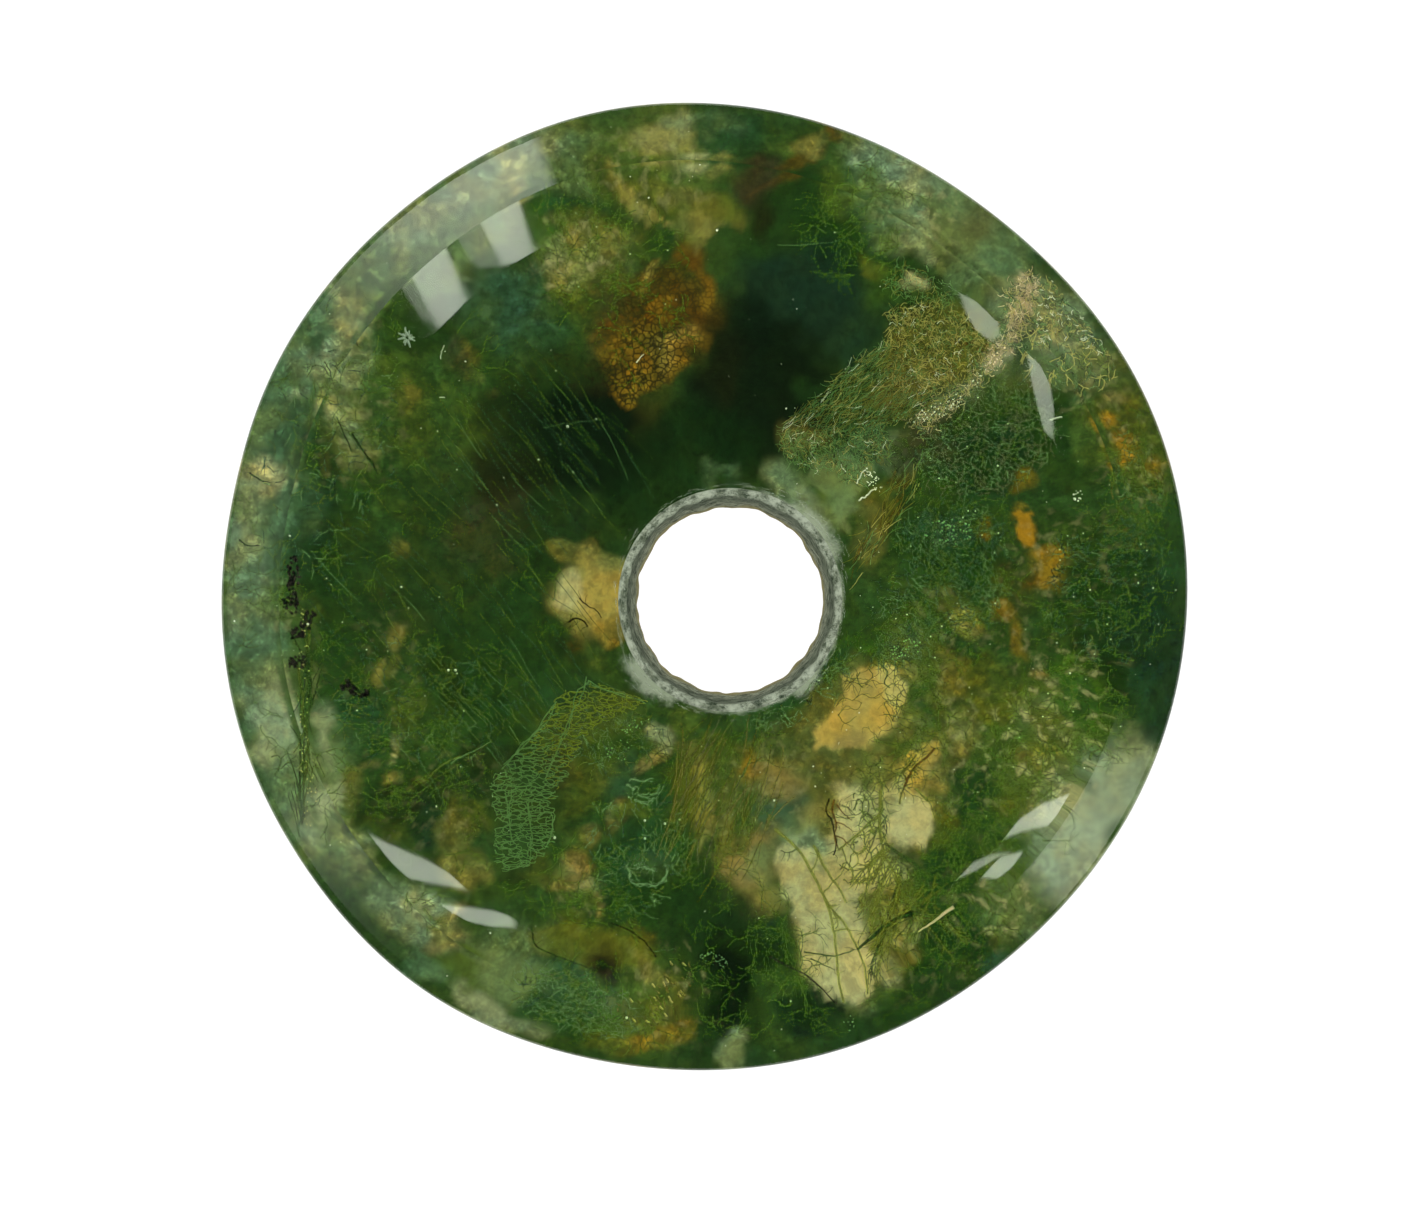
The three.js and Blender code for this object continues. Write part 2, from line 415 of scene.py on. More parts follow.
        (870, 390, 46, 28, 30, "moss", 0.75, 0.7), (822, 395, 20, 22, 0, "deep", 0.6),
        (835, 465, 52, 28, -20, "moss", 0.8, 0.6), (845, 500, 22, 30, 0, "leaf", 0.6),
        (800, 440, 20, 14, 0, "khaki", 0.5), (888, 500, 14, 36, -30, "olive", 0.75),
        (905, 482, 10, 16, 10, "rust", 0.6), (868, 548, 14, 26, -30, "khaki", 0.8, 0.7),
        (875, 590, 26, 40, 0, "moss", 0.6), (880, 520, 12, 20, 0, "rust", 0.3),
        (1060, 318, 42, 30, -30, "sage", 0.8, 0.7), (1062, 355, 24, 16, 0, "bark", 0.35),
        (1032, 326, 12, 10, 0, "milk", 0.4), (1052, 340, 60, 40, -42, "sage", 0.85, 0.6),
        (1078, 388, 26, 22, -40, "haze", 0.6), (1024, 372, 26, 22, -30, "drab", 0.8),
        (945, 352, 54, 38, 15, "khaki", 0.6, 0.7), (900, 392, 26, 14, 10, "khaki", 0.6),
        (868, 448, 36, 20, 10, "haze", 0.6), (905, 452, 22, 22, 0, "drab", 0.7),
        # the dusk spot at 1022, 352 is a painted shadow beside the vein
        (786, 480, 24, 18, -40, "sage", 0.8, 0.7), (1022, 352, 9, 12, 0, "dusk", 0.7),
        (1066, 326, 58, 28, -44, "milk", 0.6, 0.7), (1100, 362, 30, 22, -50, "sage", 0.7),
        (940, 345, 50, 34, 15, "leaf", 0.5), (930, 392, 18, 12, 0, "straw", 0.5),
        (842, 512, 18, 20, 0, "sage", 0.6), (902, 630, 20, 16, 0, "leaf", 0.6),
        (1052, 330, 26, 18, -40, "milk", 0.7), (990, 358, 14, 14, 0, "milk", 0.6),
        (804, 508, 24, 18, -40, "milk", 0.5), (778, 482, 18, 14, -40, "milk", 0.35),
        (958, 392, 18, 12, 30, "sage", 0.6), (990, 360, 14, 14, 0, "cream", 0.35),
        (960, 390, 16, 12, 30, "milk", 0.4), (990, 300, 14, 14, 0, "milk", 0.35),
        (1050, 330, 14, 14, 0, "cream", 0.3),
    ],
    "right": [
        (950, 432, 56, 30, 30, "bark", 0.9, 0.7), (1010, 410, 40, 26, 20, "drab", 0.35),
        (1005, 425, 50, 36, 20, "deep", 0.85, 0.7), (1000, 460, 44, 34, 0, "dusk", 0.7),
        (1065, 430, 20, 50, 10, "deep", 0.8, 0.7), (1086, 425, 15, 42, 10, "leaf", 0.65, 0.7),
        (1130, 430, 36, 80, 15, "olive", 0.7, 0.6), (1160, 400, 14, 40, 20, "leaf", 0.5),
        (1086, 386, 9, 9, 0, "tan", 0.6), (1116, 390, 9, 8, 0, "tan", 0.7),
        (1112, 422, 10, 10, 0, "amber", 0.85, 0.7), (1127, 450, 11, 14, 0, "amber", 0.95, 0.6),
        (1118, 462, 8, 6, 0, "amber", 0.6), (1150, 470, 10, 8, 0, "amber", 0.55),
        (1150, 540, 40, 46, 0, "pine", 0.7, 0.7), (1110, 510, 30, 24, 0, "moss", 0.6),
        (950, 555, 60, 50, 0, "deep", 0.85, 0.7), (946, 532, 28, 17, 0, "teal", 0.8),
        (1028, 481, 11, 7, 0, "amber", 0.65), (1018, 506, 11, 6, 20, "amber", 0.5),
        (985, 527, 9, 8, 0, "amber", 0.8, 0.7), (1050, 565, 26, 20, -10, "amber", 0.75, 0.7),
        (1032, 585, 10, 12, 0, "rust", 0.6), (1076, 560, 10, 8, 0, "khaki", 0.7),
        (1062, 532, 20, 12, 0, "moss", 0.7), (1100, 600, 60, 50, 60, "deep", 0.75, 0.7),
        (1150, 640, 42, 92, 8, "dusk", 0.95, 0.6), (1140, 700, 30, 20, 30, "pine", 0.5),
        (966, 620, 17, 12, -30, "gold", 0.8, 0.7), (980, 634, 12, 8, -20, "tan", 0.7),
        (1000, 612, 13, 8, -20, "amber", 0.7), (1022, 640, 10, 20, 10, "amber", 0.55),
        (945, 603, 20, 12, 0, "khaki", 0.4, 0.9), (905, 600, 26, 40, 0, "moss", 0.6),
        (1060, 640, 40, 24, 0, "moss", 0.4, 0.9), (1015, 590, 20, 30, 0, "rust", 0.25, 0.9),
        (1085, 640, 12, 26, 0, "umber", 0.4, 0.9), (1094, 588, 44, 36, 40, "deep", 0.7),
        (1142, 510, 18, 20, 0, "moss", 0.6), (1108, 664, 18, 18, 0, "night", 0.6),
        (1084, 690, 16, 16, 0, "deep", 0.5), (1080, 690, 16, 16, 0, "night", 0.4),
        (1112, 690, 16, 16, 0, "night", 0.6),
    ],
    "amber window": [
        (860, 716, 58, 48, 45, "khaki", 0.8, 0.5), (800, 745, 60, 30, 20, "khaki", 0.5),
        (950, 682, 17, 30, -5, "amber", 0.5), (945, 690, 22, 36, -5, "khaki", 0.6),
        (985, 690, 40, 30, 30, "olive", 0.6), (860, 651, 44, 8, 4, "grass", 0.5),
        (838, 664, 22, 12, 30, "pine", 0.8), (905, 740, 16, 36, -32, "moss", 0.85, 0.7),
        (918, 700, 14, 46, -15, "moss", 0.85, 0.7), (896, 768, 24, 10, 30, "deep", 0.5),
        (870, 768, 26, 10, 15, "khaki", 0.6), (872, 778, 40, 18, 22, "straw", 0.6),
        (905, 668, 16, 12, 0, "gold", 0.6), (930, 660, 22, 18, 0, "khaki", 0.45),
        (812, 776, 40, 20, 0, "khaki", 0.6), (930, 762, 24, 22, 20, "straw", 0.7),
        (905, 745, 18, 14, 30, "olive", 0.5), (903, 722, 12, 16, 0, "straw", 0.6),
        (914, 780, 30, 12, 10, "straw", 0.6), (960, 722, 18, 16, 0, "moss", 0.5),
        (866, 752, 22, 10, 20, "straw", 0.6), (902, 658, 16, 14, 0, "khaki", 0.6),
        (880, 784, 30, 12, 20, "straw", 0.5), (928, 782, 16, 14, 0, "honey", 0.6),
        (900, 646, 16, 22, 0, "sage", 0.5), (960, 720, 16, 14, 0, "moss", 0.4),
        (870, 510, 14, 12, 0, "straw", 0.3),
    ],
    "lower right": [
        (1040, 740, 60, 60, 30, "leaf", 0.7, 0.7), (1045, 670, 10, 8, 0, "tan", 0.8),
        (1058, 690, 10, 8, 0, "straw", 0.5), (1000, 705, 30, 22, 0, "olive", 0.7),
        (1032, 716, 20, 18, 0, "sage", 0.6), (1080, 690, 24, 34, 0, "grass", 0.75, 0.7),
        (1118, 738, 26, 20, 30, "sage", 0.6), (1080, 762, 20, 14, 20, "pine", 0.75),
        (926, 768, 12, 22, -20, "gold", 0.8, 0.7), (940, 748, 16, 12, 0, "khaki", 0.7),
        (962, 742, 20, 24, -20, "straw", 0.65), (978, 795, 20, 40, 0, "deep", 0.85, 0.7),
        (1006, 772, 18, 22, 0, "leaf", 0.5), (1042, 780, 14, 26, -20, "straw", 0.75),
        (1062, 750, 12, 10, 0, "straw", 0.5, 0.9), (1008, 806, 16, 12, 0, "olive", 0.6),
        (915, 818, 40, 34, 0, "straw", 0.5, 0.7), (950, 828, 13, 17, 0, "olive", 0.85, 0.7),
        # the milk spots along the lower right edge are partly the stone's own milk and partly painted
        # light: the sheen of the grazing rim and the light through its thin edge
        (1100, 790, 70, 40, 50, "milk", 0.8, 0.5), (1070, 850, 46, 40, 45, "milk", 0.8, 0.6),
        (1040, 830, 24, 18, 20, "sage", 0.7), (1000, 885, 34, 22, 30, "leaf", 0.7),
        (986, 928, 12, 15, 0, "straw", 0.8, 0.7), (1014, 920, 22, 18, 30, "moss", 0.7),
        (945, 885, 40, 40, 20, "deep", 0.85, 0.7), (905, 860, 22, 12, -20, "khaki", 0.5),
        (880, 895, 34, 50, 20, "straw", 0.7, 0.7), (905, 915, 16, 7, 25, "straw", 0.8),
        (940, 960, 60, 44, 25, "deep", 0.9, 0.6), (962, 972, 14, 12, 0, "leaf", 0.35, 0.9),
        (990, 960, 14, 12, 30, "teal", 0.6), (1050, 776, 34, 24, -25, "straw", 0.75),
        (1022, 786, 26, 22, 0, "khaki", 0.5), (1050, 742, 30, 26, 20, "khaki", 0.6),
        (1010, 900, 40, 24, 25, "sage", 0.6), (1050, 842, 26, 20, 30, "milk", 0.7),
        (868, 890, 24, 44, 15, "straw", 0.7, 0.7), (896, 926, 22, 12, 30, "cream", 0.7),
        (908, 868, 10, 8, 0, "cream", 0.5), (922, 898, 20, 20, 20, "moss", 0.6),
        (958, 932, 34, 26, 25, "deep", 0.8), (1052, 782, 18, 16, 0, "milk", 0.4),
        (872, 962, 14, 20, 10, "cream", 0.6), (1080, 690, 18, 22, 0, "moss", 0.6),
        (1048, 812, 22, 16, 30, "cream", 0.6), (1050, 840, 22, 16, 30, "milk", 0.6),
        (1082, 778, 16, 14, 0, "moss", 0.6), (930, 842, 16, 14, 0, "olive", 0.7),
        (1018, 928, 18, 14, 30, "sage", 0.6), (884, 905, 22, 32, 20, "olive", 0.5),
    ],
    "cream window": [
        (775, 850, 36, 30, 0, "tan", 0.4), (742, 868, 30, 20, 0, "tan", 0.9, 0.7),
        (768, 862, 22, 20, 0, "sage", 0.5), (772, 892, 22, 14, 0, "sage", 0.35),
        (762, 838, 18, 12, 0, "tan", 0.5), (792, 815, 34, 20, 0, "teal", 0.85, 0.7),
        (840, 830, 36, 34, 0, "straw", 0.7, 0.7), (770, 788, 34, 22, 0, "tan", 0.6),
        (750, 768, 12, 14, 0, "amber", 0.4), (836, 940, 36, 60, 5, "cream", 0.6, 0.6),
        (884, 945, 20, 34, 20, "khaki", 0.8, 0.7), (884, 965, 14, 18, 20, "cream", 0.4),
        (752, 900, 26, 18, 0, "khaki", 0.5), (812, 840, 26, 22, 0, "sage", 0.7),
        (752, 904, 18, 14, 0, "straw", 0.5), (812, 838, 18, 12, 0, "milk", 0.5),
        (724, 902, 18, 12, 0, "leaf", 0.5),
    ],
    "bottom": [
        (740, 935, 50, 40, 0, "dusk", 0.7, 0.7), (712, 920, 44, 40, 0, "night", 0.7, 0.7),
        (740, 985, 46, 50, 0, "night", 0.85, 0.6), (745, 950, 30, 30, 0, "umber", 0.3, 0.9),
        (778, 985, 26, 20, 0, "moss", 0.8), (792, 998, 16, 10, 0, "leaf", 0.5),
        (770, 1020, 26, 10, -30, "moss", 0.6), (806, 1008, 26, 22, 0, "ink", 0.5, 0.7),
        (806, 1008, 26, 22, 0, "dusk", 0.6, 0.7), (835, 1032, 26, 16, 20, "pine", 0.7, 0.7),
        (856, 1000, 20, 12, 20, "sage", 0.6), (700, 1040, 20, 20, 0, "night", 0.6),
        (640, 1000, 56, 48, -10, "leaf", 0.7, 0.7), (665, 978, 34, 7, -40, "straw", 0.75),
        (650, 1036, 36, 11, 12, "amber", 0.7), (600, 1036, 30, 12, -10, "olive", 0.7),
        (650, 1012, 30, 9, 12, "khaki", 0.7), (585, 985, 34, 26, 0, "haze", 0.5),
        (600, 940, 60, 16, -12, "olive", 0.7, 0.6), (650, 936, 14, 8, -20, "rust", 0.4),
        (603, 964, 20, 17, 0, "umber", 0.9, 0.7), (603, 964, 12, 11, 0, "coal", 0.97, 0.6),
        (732, 1048, 13, 20, 0, "milk", 0.65, 0.5), (750, 1052, 10, 12, 0, "dusk", 0.6),
        (880, 1030, 60, 26, 20, "deep", 0.85, 0.7), (940, 1000, 50, 26, 30, "deep", 0.8, 0.7),
        (718, 990, 34, 40, 0, "ink", 0.85, 0.7), (690, 992, 20, 30, 0, "deep", 0.6),
        (664, 992, 20, 18, 0, "olive", 0.6), (810, 1016, 24, 18, 0, "ink", 0.6),
        (752, 1050, 18, 12, 0, "deep", 0.5),
    ],
    "below the hole": [
        (755, 718, 44, 20, 8, "pine", 0.9, 0.7), (700, 715, 30, 10, 0, "umber", 0.4),
        (720, 762, 30, 26, 0, "olive", 0.5), (700, 800, 13, 52, 5, "khaki", 0.75),
        (724, 830, 10, 22, 0, "rust", 0.45, 0.9), (680, 795, 14, 30, 0, "olive", 0.5),
        (740, 800, 16, 30, 0, "moss", 0.6), (662, 737, 13, 9, 0, "cream", 0.7),
        (649, 757, 21, 7, 28, "tan", 0.9, 0.7), (686, 742, 14, 9, 0, "khaki", 0.6),
        (617, 815, 11, 21, -8, "tan", 0.95, 0.6), (586, 836, 15, 13, 0, "tan", 0.55),
        (562, 870, 27, 18, 10, "tan", 0.85, 0.7), (586, 890, 16, 9, -30, "cream", 0.5),
        (598, 908, 12, 6, -60, "tan", 0.7), (640, 850, 36, 60, 0, "pine", 0.75, 0.7),
        (612, 775, 22, 20, 0, "teal", 0.5), (660, 905, 50, 26, 0, "deep", 0.85, 0.7),
        (585, 770, 22, 40, -20, "olive", 0.45), (592, 720, 50, 20, 10, "olive", 0.55),
        (752, 724, 30, 14, 8, "moss", 0.7), (716, 792, 44, 46, 0, "khaki", 0.25),
        (686, 718, 22, 14, 10, "leaf", 0.7), (566, 842, 18, 16, 0, "leaf", 0.6),
        (660, 872, 22, 16, 0, "haze", 0.4), (748, 776, 12, 16, 0, "amber", 0.5),
        (630, 810, 18, 14, 0, "leaf", 0.7), (630, 722, 16, 14, 0, "leaf", 0.6),
        (600, 660, 16, 12, 0, "leaf", 0.4), (776, 900, 20, 16, 0, "straw", 0.4),
        (572, 900, 18, 14, 0, "leaf", 0.7),
    ],
    "lower left": [
        (560, 762, 22, 20, 0, "rust", 0.35), (530, 800, 40, 40, 0, "moss", 0.5),
        (545, 800, 24, 40, 0, "umber", 0.3, 0.9), (395, 748, 14, 5, 50, "cream", 0.6),
        (366, 763, 11, 6, 20, "straw", 0.75), (393, 776, 7, 5, 0, "straw", 0.75),
        (350, 780, 12, 16, 0, "khaki", 0.6), (430, 774, 9, 7, 20, "khaki", 0.6),
        (384, 816, 26, 12, -20, "olive", 0.3, 0.9), (430, 822, 22, 22, 0, "dusk", 0.8),
        (456, 832, 13, 32, 0, "khaki", 0.75, 0.7), (478, 815, 10, 20, 0, "olive", 0.5),
        (466, 872, 24, 16, -20, "straw", 0.6), (500, 850, 22, 20, 0, "moss", 0.6),
        (524, 872, 24, 16, 0, "umber", 0.6), (512, 905, 40, 16, -10, "moss", 0.7),
        (355, 850, 36, 22, -50, "sage", 0.7, 0.7), (376, 872, 22, 16, -40, "teal", 0.6),
        (360, 915, 30, 14, -45, "deep", 0.7, 0.7), (412, 905, 46, 32, -30, "sage", 0.85, 0.6),
        (424, 914, 46, 26, -32, "milk", 0.6, 0.7), (446, 928, 13, 26, -35, "tan", 0.85, 0.7),
        (360, 842, 26, 18, -40, "sage", 0.6), (454, 908, 14, 7, -20, "cream", 0.7),
        (420, 960, 34, 16, -40, "pine", 0.7), (462, 972, 30, 24, -30, "leaf", 0.5),
        (508, 960, 36, 42, 0, "sage", 0.8, 0.6), (478, 1008, 34, 13, -32, "milk", 0.75, 0.7),
        (520, 1025, 26, 9, -15, "milk", 0.5), (552, 972, 26, 24, 0, "teal", 0.6),
        (545, 1010, 30, 18, -20, "pine", 0.5), (424, 902, 22, 15, -30, "milk", 0.7),
        (424, 962, 22, 12, -40, "haze", 0.7), (538, 872, 20, 16, 0, "leaf", 0.6),
        (360, 842, 20, 14, -40, "milk", 0.4), (430, 904, 24, 18, -30, "milk", 0.6),
        (450, 928, 12, 12, 0, "straw", 0.5), (418, 900, 16, 14, 0, "cream", 0.4),
        (450, 930, 16, 12, 0, "straw", 0.45),
    ],
}
# parts with a clear edge: outlines in the photo's pixels, a colour, its strength and how soft
# the edge is, in pixels
panes = {
    "cream window": (
        [(776, 850), (788, 842), (804, 846), (814, 866), (832, 880), (850, 896), (866, 912), (868, 940),
         (876, 960), (872, 985), (858, 1008), (838, 1002), (820, 988), (803, 974), (801, 948), (796, 915),
         (784, 890), (780, 868)], "cream", 0.72, 7),
    "between the windows": (
        [(834, 784), (846, 780), (862, 790), (884, 786), (900, 776), (914, 788), (928, 796), (932, 815),
         (920, 840), (906, 850), (904, 874), (882, 888), (862, 888), (846, 902), (828, 892), (812, 870),
         (804, 850), (826, 848), (834, 820)], "cream", 0.62, 12),
    "cream window, bright": (
        [(784, 860), (800, 856), (806, 880), (812, 905), (800, 925), (792, 900)], "cream", 0.4, 16),
    "cream window, low": (
        [(812, 960), (840, 965), (866, 950), (874, 975), (852, 1000), (826, 986)], "cream", 0.6, 14),
    "threaded cream": (
        [(836, 800), (850, 790), (862, 800), (864, 816), (852, 836), (840, 842), (834, 820)],
        "cream", 0.75, 5),
    "threaded cream, middle": (
        [(842, 860), (850, 842), (868, 822), (878, 826), (880, 846), (870, 866), (860, 880), (848, 876)],
        "cream", 0.65, 5),
    "cream oval": (
        [(896, 806), (908, 798), (924, 800), (936, 812), (934, 832), (922, 846), (906, 844), (888, 836),
         (882, 820)], "cream", 0.95, 7),
    "yellow strip": (
        [(915, 750), (936, 742), (940, 760), (925, 775), (914, 796), (903, 798), (906, 780),
         (902, 772)], "gold", 0.6, 5),
    "amber window": (
        [(842, 676), (862, 668), (884, 664), (898, 672), (904, 700), (896, 722), (880, 742), (858, 750),
         (832, 752), (815, 742), (814, 728), (832, 712), (844, 696)], "honey", 0.95, 7),
    "amber window, pale side": (
        [(878, 668), (896, 670), (908, 694), (902, 722), (886, 738), (872, 742), (884, 710)],
        "hay", 0.7, 12),
    "amber window, glowing": (
        [(866, 700), (890, 690), (900, 704), (890, 726), (872, 738), (858, 726)], "gold", 0.85, 14),
    "amber corner": (
        [(832, 712), (848, 716), (846, 736), (834, 746), (818, 742), (814, 728)], "gold", 0.85, 10),
    "amber low": ([(836, 734), (866, 738), (856, 750), (832, 752)], "tan", 0.6, 10),
    "bright corner": (
        [(884, 664), (898, 672), (904, 700), (898, 714), (886, 708), (880, 684)], "hay", 0.95, 6),
    "amber grain": (
        [(1011, 518), (1018, 510), (1027, 514), (1036, 524), (1040, 534), (1034, 544), (1022, 545)],
        "amber", 1.0, 3),
    "wide amber grain": (
        [(1033, 552), (1050, 546), (1064, 556), (1062, 576), (1048, 586), (1036, 584)], "amber", 0.5, 6),
    "small amber grain": ([(978, 520), (992, 520), (992, 534), (979, 533)], "amber", 0.5, 4),
    "olive wedge": (
        [(532, 928), (560, 920), (600, 928), (650, 944), (662, 956), (630, 968), (600, 970),
         (560, 962), (535, 948)], "olive", 0.6, 4),
    "pale arch": (
        [(716, 1062), (722, 1044), (728, 1032), (738, 1032), (744, 1044), (748, 1064)], "sage", 0.7, 6),
    "plain patch": (
        [(812, 462), (850, 452), (872, 470), (866, 488), (852, 508), (848, 530), (838, 526),
         (832, 500), (812, 484)], "sage", 0.7, 4),
    "cream knot": ([(903, 274), (922, 276), (922, 288), (906, 288)], "cream", 0.8, 3),
    "ridge band": (
        [(294, 560), (298, 600), (304, 660), (310, 700), (315, 760), (319, 830), (311, 828), (303, 760),
         (297, 700), (292, 640), (288, 560)], "moss", 0.8, 4),
    "plume": (
        [(630, 134), (650, 123), (680, 126), (694, 138), (682, 156), (677, 175), (660, 170), (644, 160)],
        "straw", 0.25, 8),
    "first finger": (
        [(648, 178), (676, 182), (694, 188), (700, 200), (690, 206), (668, 200), (652, 190)],
        "straw", 0.15, 5),
    "second finger": (
        [(698, 196), (715, 194), (728, 204), (734, 214), (722, 222), (706, 216)], "olive", 0.5, 4),
    "third finger": (
        [(680, 214), (700, 209), (716, 216), (714, 232), (704, 244), (696, 256), (690, 240), (676, 226)],
        "straw", 0.35, 5),
    "wedge": (
        [(603, 156), (618, 182), (640, 200), (656, 226), (650, 232), (630, 210), (612, 186)],
        "straw", 0.6, 4),
    "edge of the wedge": (
        [(598, 158), (606, 174), (624, 200), (648, 232), (668, 248), (702, 282), (694, 286), (658, 252),
         (636, 236), (612, 204), (598, 176)], "deep", 0.6, 5),
    "vein, top": (
        [(1022, 272), (1038, 280), (1038, 302), (1028, 324), (1016, 338), (1006, 332), (1005, 315),
         (1010, 298), (1016, 285)], "clay", 0.85, 7),
    "vein, middle": (
        [(1016, 334), (1019, 343), (1005, 362), (990, 373), (983, 367), (989, 351), (1003, 340)],
        "clay", 0.75, 6),
    "vein, low": (
        [(987, 368), (977, 382), (961, 398), (946, 413), (925, 427), (914, 421), (928, 405), (943, 394),
         (960, 379), (974, 370)], "sage", 0.8, 6),
    # a painted shadow: the dark gap along the right side of the vein
    "painted shadow beside the vein": (
        [(1018, 318), (1028, 322), (1030, 334), (1024, 350), (1020, 372), (1013, 374), (1012, 350)],
        "dusk", 0.7, 5),
    "tan streak": (
        [(694, 775), (704, 768), (712, 800), (706, 852), (698, 852), (696, 810)], "straw", 0.5, 7),
    "second tan streak": ([(724, 788), (733, 800), (731, 850), (721, 864), (716, 830)], "khaki", 0.6, 7),
    "dark wedge": (
        [(884, 843), (900, 850), (920, 856), (940, 850), (962, 850), (986, 870), (970, 902), (940, 906),
         (925, 892), (905, 874), (892, 858)], "deep", 0.85, 8),
    "shade beside the amber": (
        [(918, 660), (928, 664), (920, 690), (914, 712), (898, 736), (880, 754), (858, 766), (850, 758),
         (878, 742), (896, 724), (907, 702), (909, 680)], "moss", 0.65, 9),
    "knot": ([(591, 952), (612, 952), (618, 966), (608, 978), (592, 976), (587, 962)], "umber", 0.9, 12),
    "knot, dark": ([(596, 957), (609, 958), (611, 967), (603, 973), (595, 969)], "ink", 0.95, 8),
}
# where light flecks show between the moss, and where the stain breaks into cells:
# middle x, middle y, half length, half width, turn, strength
flecks = [
    (340, 340, 60, 34, 70, 0.35), (360, 430, 60, 40, 60, 0.3), (300, 700, 110, 30, 95, 0.3),
    (385, 690, 40, 80, 0, 0.2), (575, 262, 44, 36, 20, 0.7), (650, 170, 60, 50, 0, 0.35),
    (655, 1000, 60, 36, -10, 0.35), (675, 975, 30, 30, 0, 0.5), (580, 900, 40, 30, 40, 0.3),
    (1070, 680, 50, 50, 60, 0.7), (1045, 745, 70, 60, 50, 1.0), (990, 790, 50, 50, 50, 0.5),
    (885, 890, 36, 56, 30, 0.6), (985, 900, 50, 40, 30, 0.7), (940, 960, 60, 40, 30, 0.2),
    (940, 720, 40, 60, 30, 0.4), (760, 790, 60, 60, 10, 0.3), (930, 200, 60, 40, 30, 0.45),
    (1090, 380, 50, 30, 60, 0.4), (1130, 470, 30, 60, 10, 0.5), (1060, 560, 60, 50, 0, 0.35),
    (960, 620, 70, 30, 0, 0.4), (440, 790, 60, 60, 0, 0.2),
]
calmSpots = [
    (770, 280, 100, 120, 20, 0.8), (760, 400, 90, 70, 20, 0.7), (835, 490, 50, 36, 20, 0.6),
    (280, 720, 50, 24, 85, 0.6), (1110, 800, 70, 40, 50, 0.9), (1050, 865, 60, 40, 40, 0.5),
    (500, 985, 80, 36, -25, 0.8), (590, 600, 36, 40, 0, 0.7), (765, 870, 40, 40, 20, 0.8),
    (790, 805, 40, 34, 0, 0.8), (655, 140, 60, 30, 0, 0.5), (975, 240, 60, 30, -45, 0.6),
    (600, 445, 80, 56, 0, 0.9), (510, 455, 40, 70, 0, 0.6), (722, 990, 30, 40, 0, 0.9),
    (325, 765, 18, 70, 0, 0.8), (400, 650, 40, 50, 0, 0.5),
]
stainCells = [
    (650, 355, 52, 34, 20, 1.0), (660, 300, 56, 40, 0, 0.6), (622, 385, 20, 22, 0, 1.0),
]
# pale grinding wear round the mouth of the hole: direction and half width in degrees, reach in mm,
# strength
mouthWear = [
    (0, 400, 0.3, 0.75), (38, 26, 1.1, 1.0), (-47, 13, 1.0, 1.05), (222, 24, 1.3, 1.15),
    (143, 9, 0.9, 0.9), (88, 24, 0.4, 1.0),
]
# how far the edges of the colours wander, in mm, and how finely
drift = {"wide": 0.35, "wideScale": 0.35, "narrow": 0.42, "narrowScale": 1.3, "pane": 0.224,
         "paneScale": 2.2, "seed": 1}


def nearSpot(points, x, y, halfLength, halfWidth, turn, softness=0.8):
    # 1 inside the ellipse, falling to 0 across its soft edge
    turn = math.radians(turn)
    dx = (points[:, 0] - across(x)) * photo["pixelsPerMm"]
    dy = (points[:, 1] - upwards(y)) * photo["pixelsPerMm"]
    along = (dx * math.cos(turn) + dy * math.sin(turn)) / halfLength
    beside = (dy * math.cos(turn) - dx * math.sin(turn)) / halfWidth
    return ease(np.clip((1 + softness / 2 - np.hypot(along, beside)) / softness, 0, 1))


def insideOutline(points, outline, edge):
    # 1 inside the outline, falling to 0 across its edge
    corners = [np.array((across(x), upwards(y))) for x, y in outline]
    away = np.full(len(points), np.inf)
    inside = np.zeros(len(points), bool)
    for i in range(len(corners)):
        a, b = corners[i - 1], corners[i]
        ab = b - a
        ap = points[:, :2] - a
        t = np.clip((ap @ ab) / (ab @ ab), 0, 1)
        away = np.minimum(away, np.hypot(*(ap - t[:, None] * ab).T))
        crosses = (a[1] > points[:, 1]) != (b[1] > points[:, 1])
        rise = b[1] - a[1] if b[1] != a[1] else 1
        inside ^= crosses & (points[:, 0] < ab[0] * (points[:, 1] - a[1]) / rise + a[0])
    distance = np.where(inside, away, -away) * photo["pixelsPerMm"]
    return ease(np.clip(distance / edge + 0.5, 0, 1))


body = {
    "ior": 1.54,
    "roughness": 0.04,
    "transmission": 1.0,
    "absorption": (0.7, 0.8, 0.42, 1),
    "absorptionDensity": 30.0,
    "frontShare": 0.06,  # how much of the colour is on the front and not on the back
    "frontHeights": (0.8, 3.4),
    "warpScale": 1.6,
    "warp": 0.4,
    "hueScale": 0.7,
    "hueRange": (0.36, 0.64),
    "warm": (1.15, 1.0, 0.75, 1),
    "cool": (0.84, 1.0, 1.12, 1),
    "mottleScale": 2.6,
    "mottleRange": (0.32, 0.68),
    "mottle": (0.6, 1.55),
    "calmMottle": 0.3,
    "mossScale": 1.7,
    "mossRange": (0.75, 1.5),
    "mossStrength": 0.42,
    "mossCalm": (0.1, 0.8),
    "fleckScale": 2.2,
    "fleckRange": (0.5, 0.7),
    "fleckStrength": 0.7,
    "cellScale": 4.0,
    "cellWeb": (0.02, 0.16),
    "cellWebStrength": 0.9,
    "smearScale": 1.7,
    "frostRange": (-0.1, 0.35),
    "frost": 0.7,
}
latticeSize = 64
steepest = 60  # degrees: the skin is seen through up to here


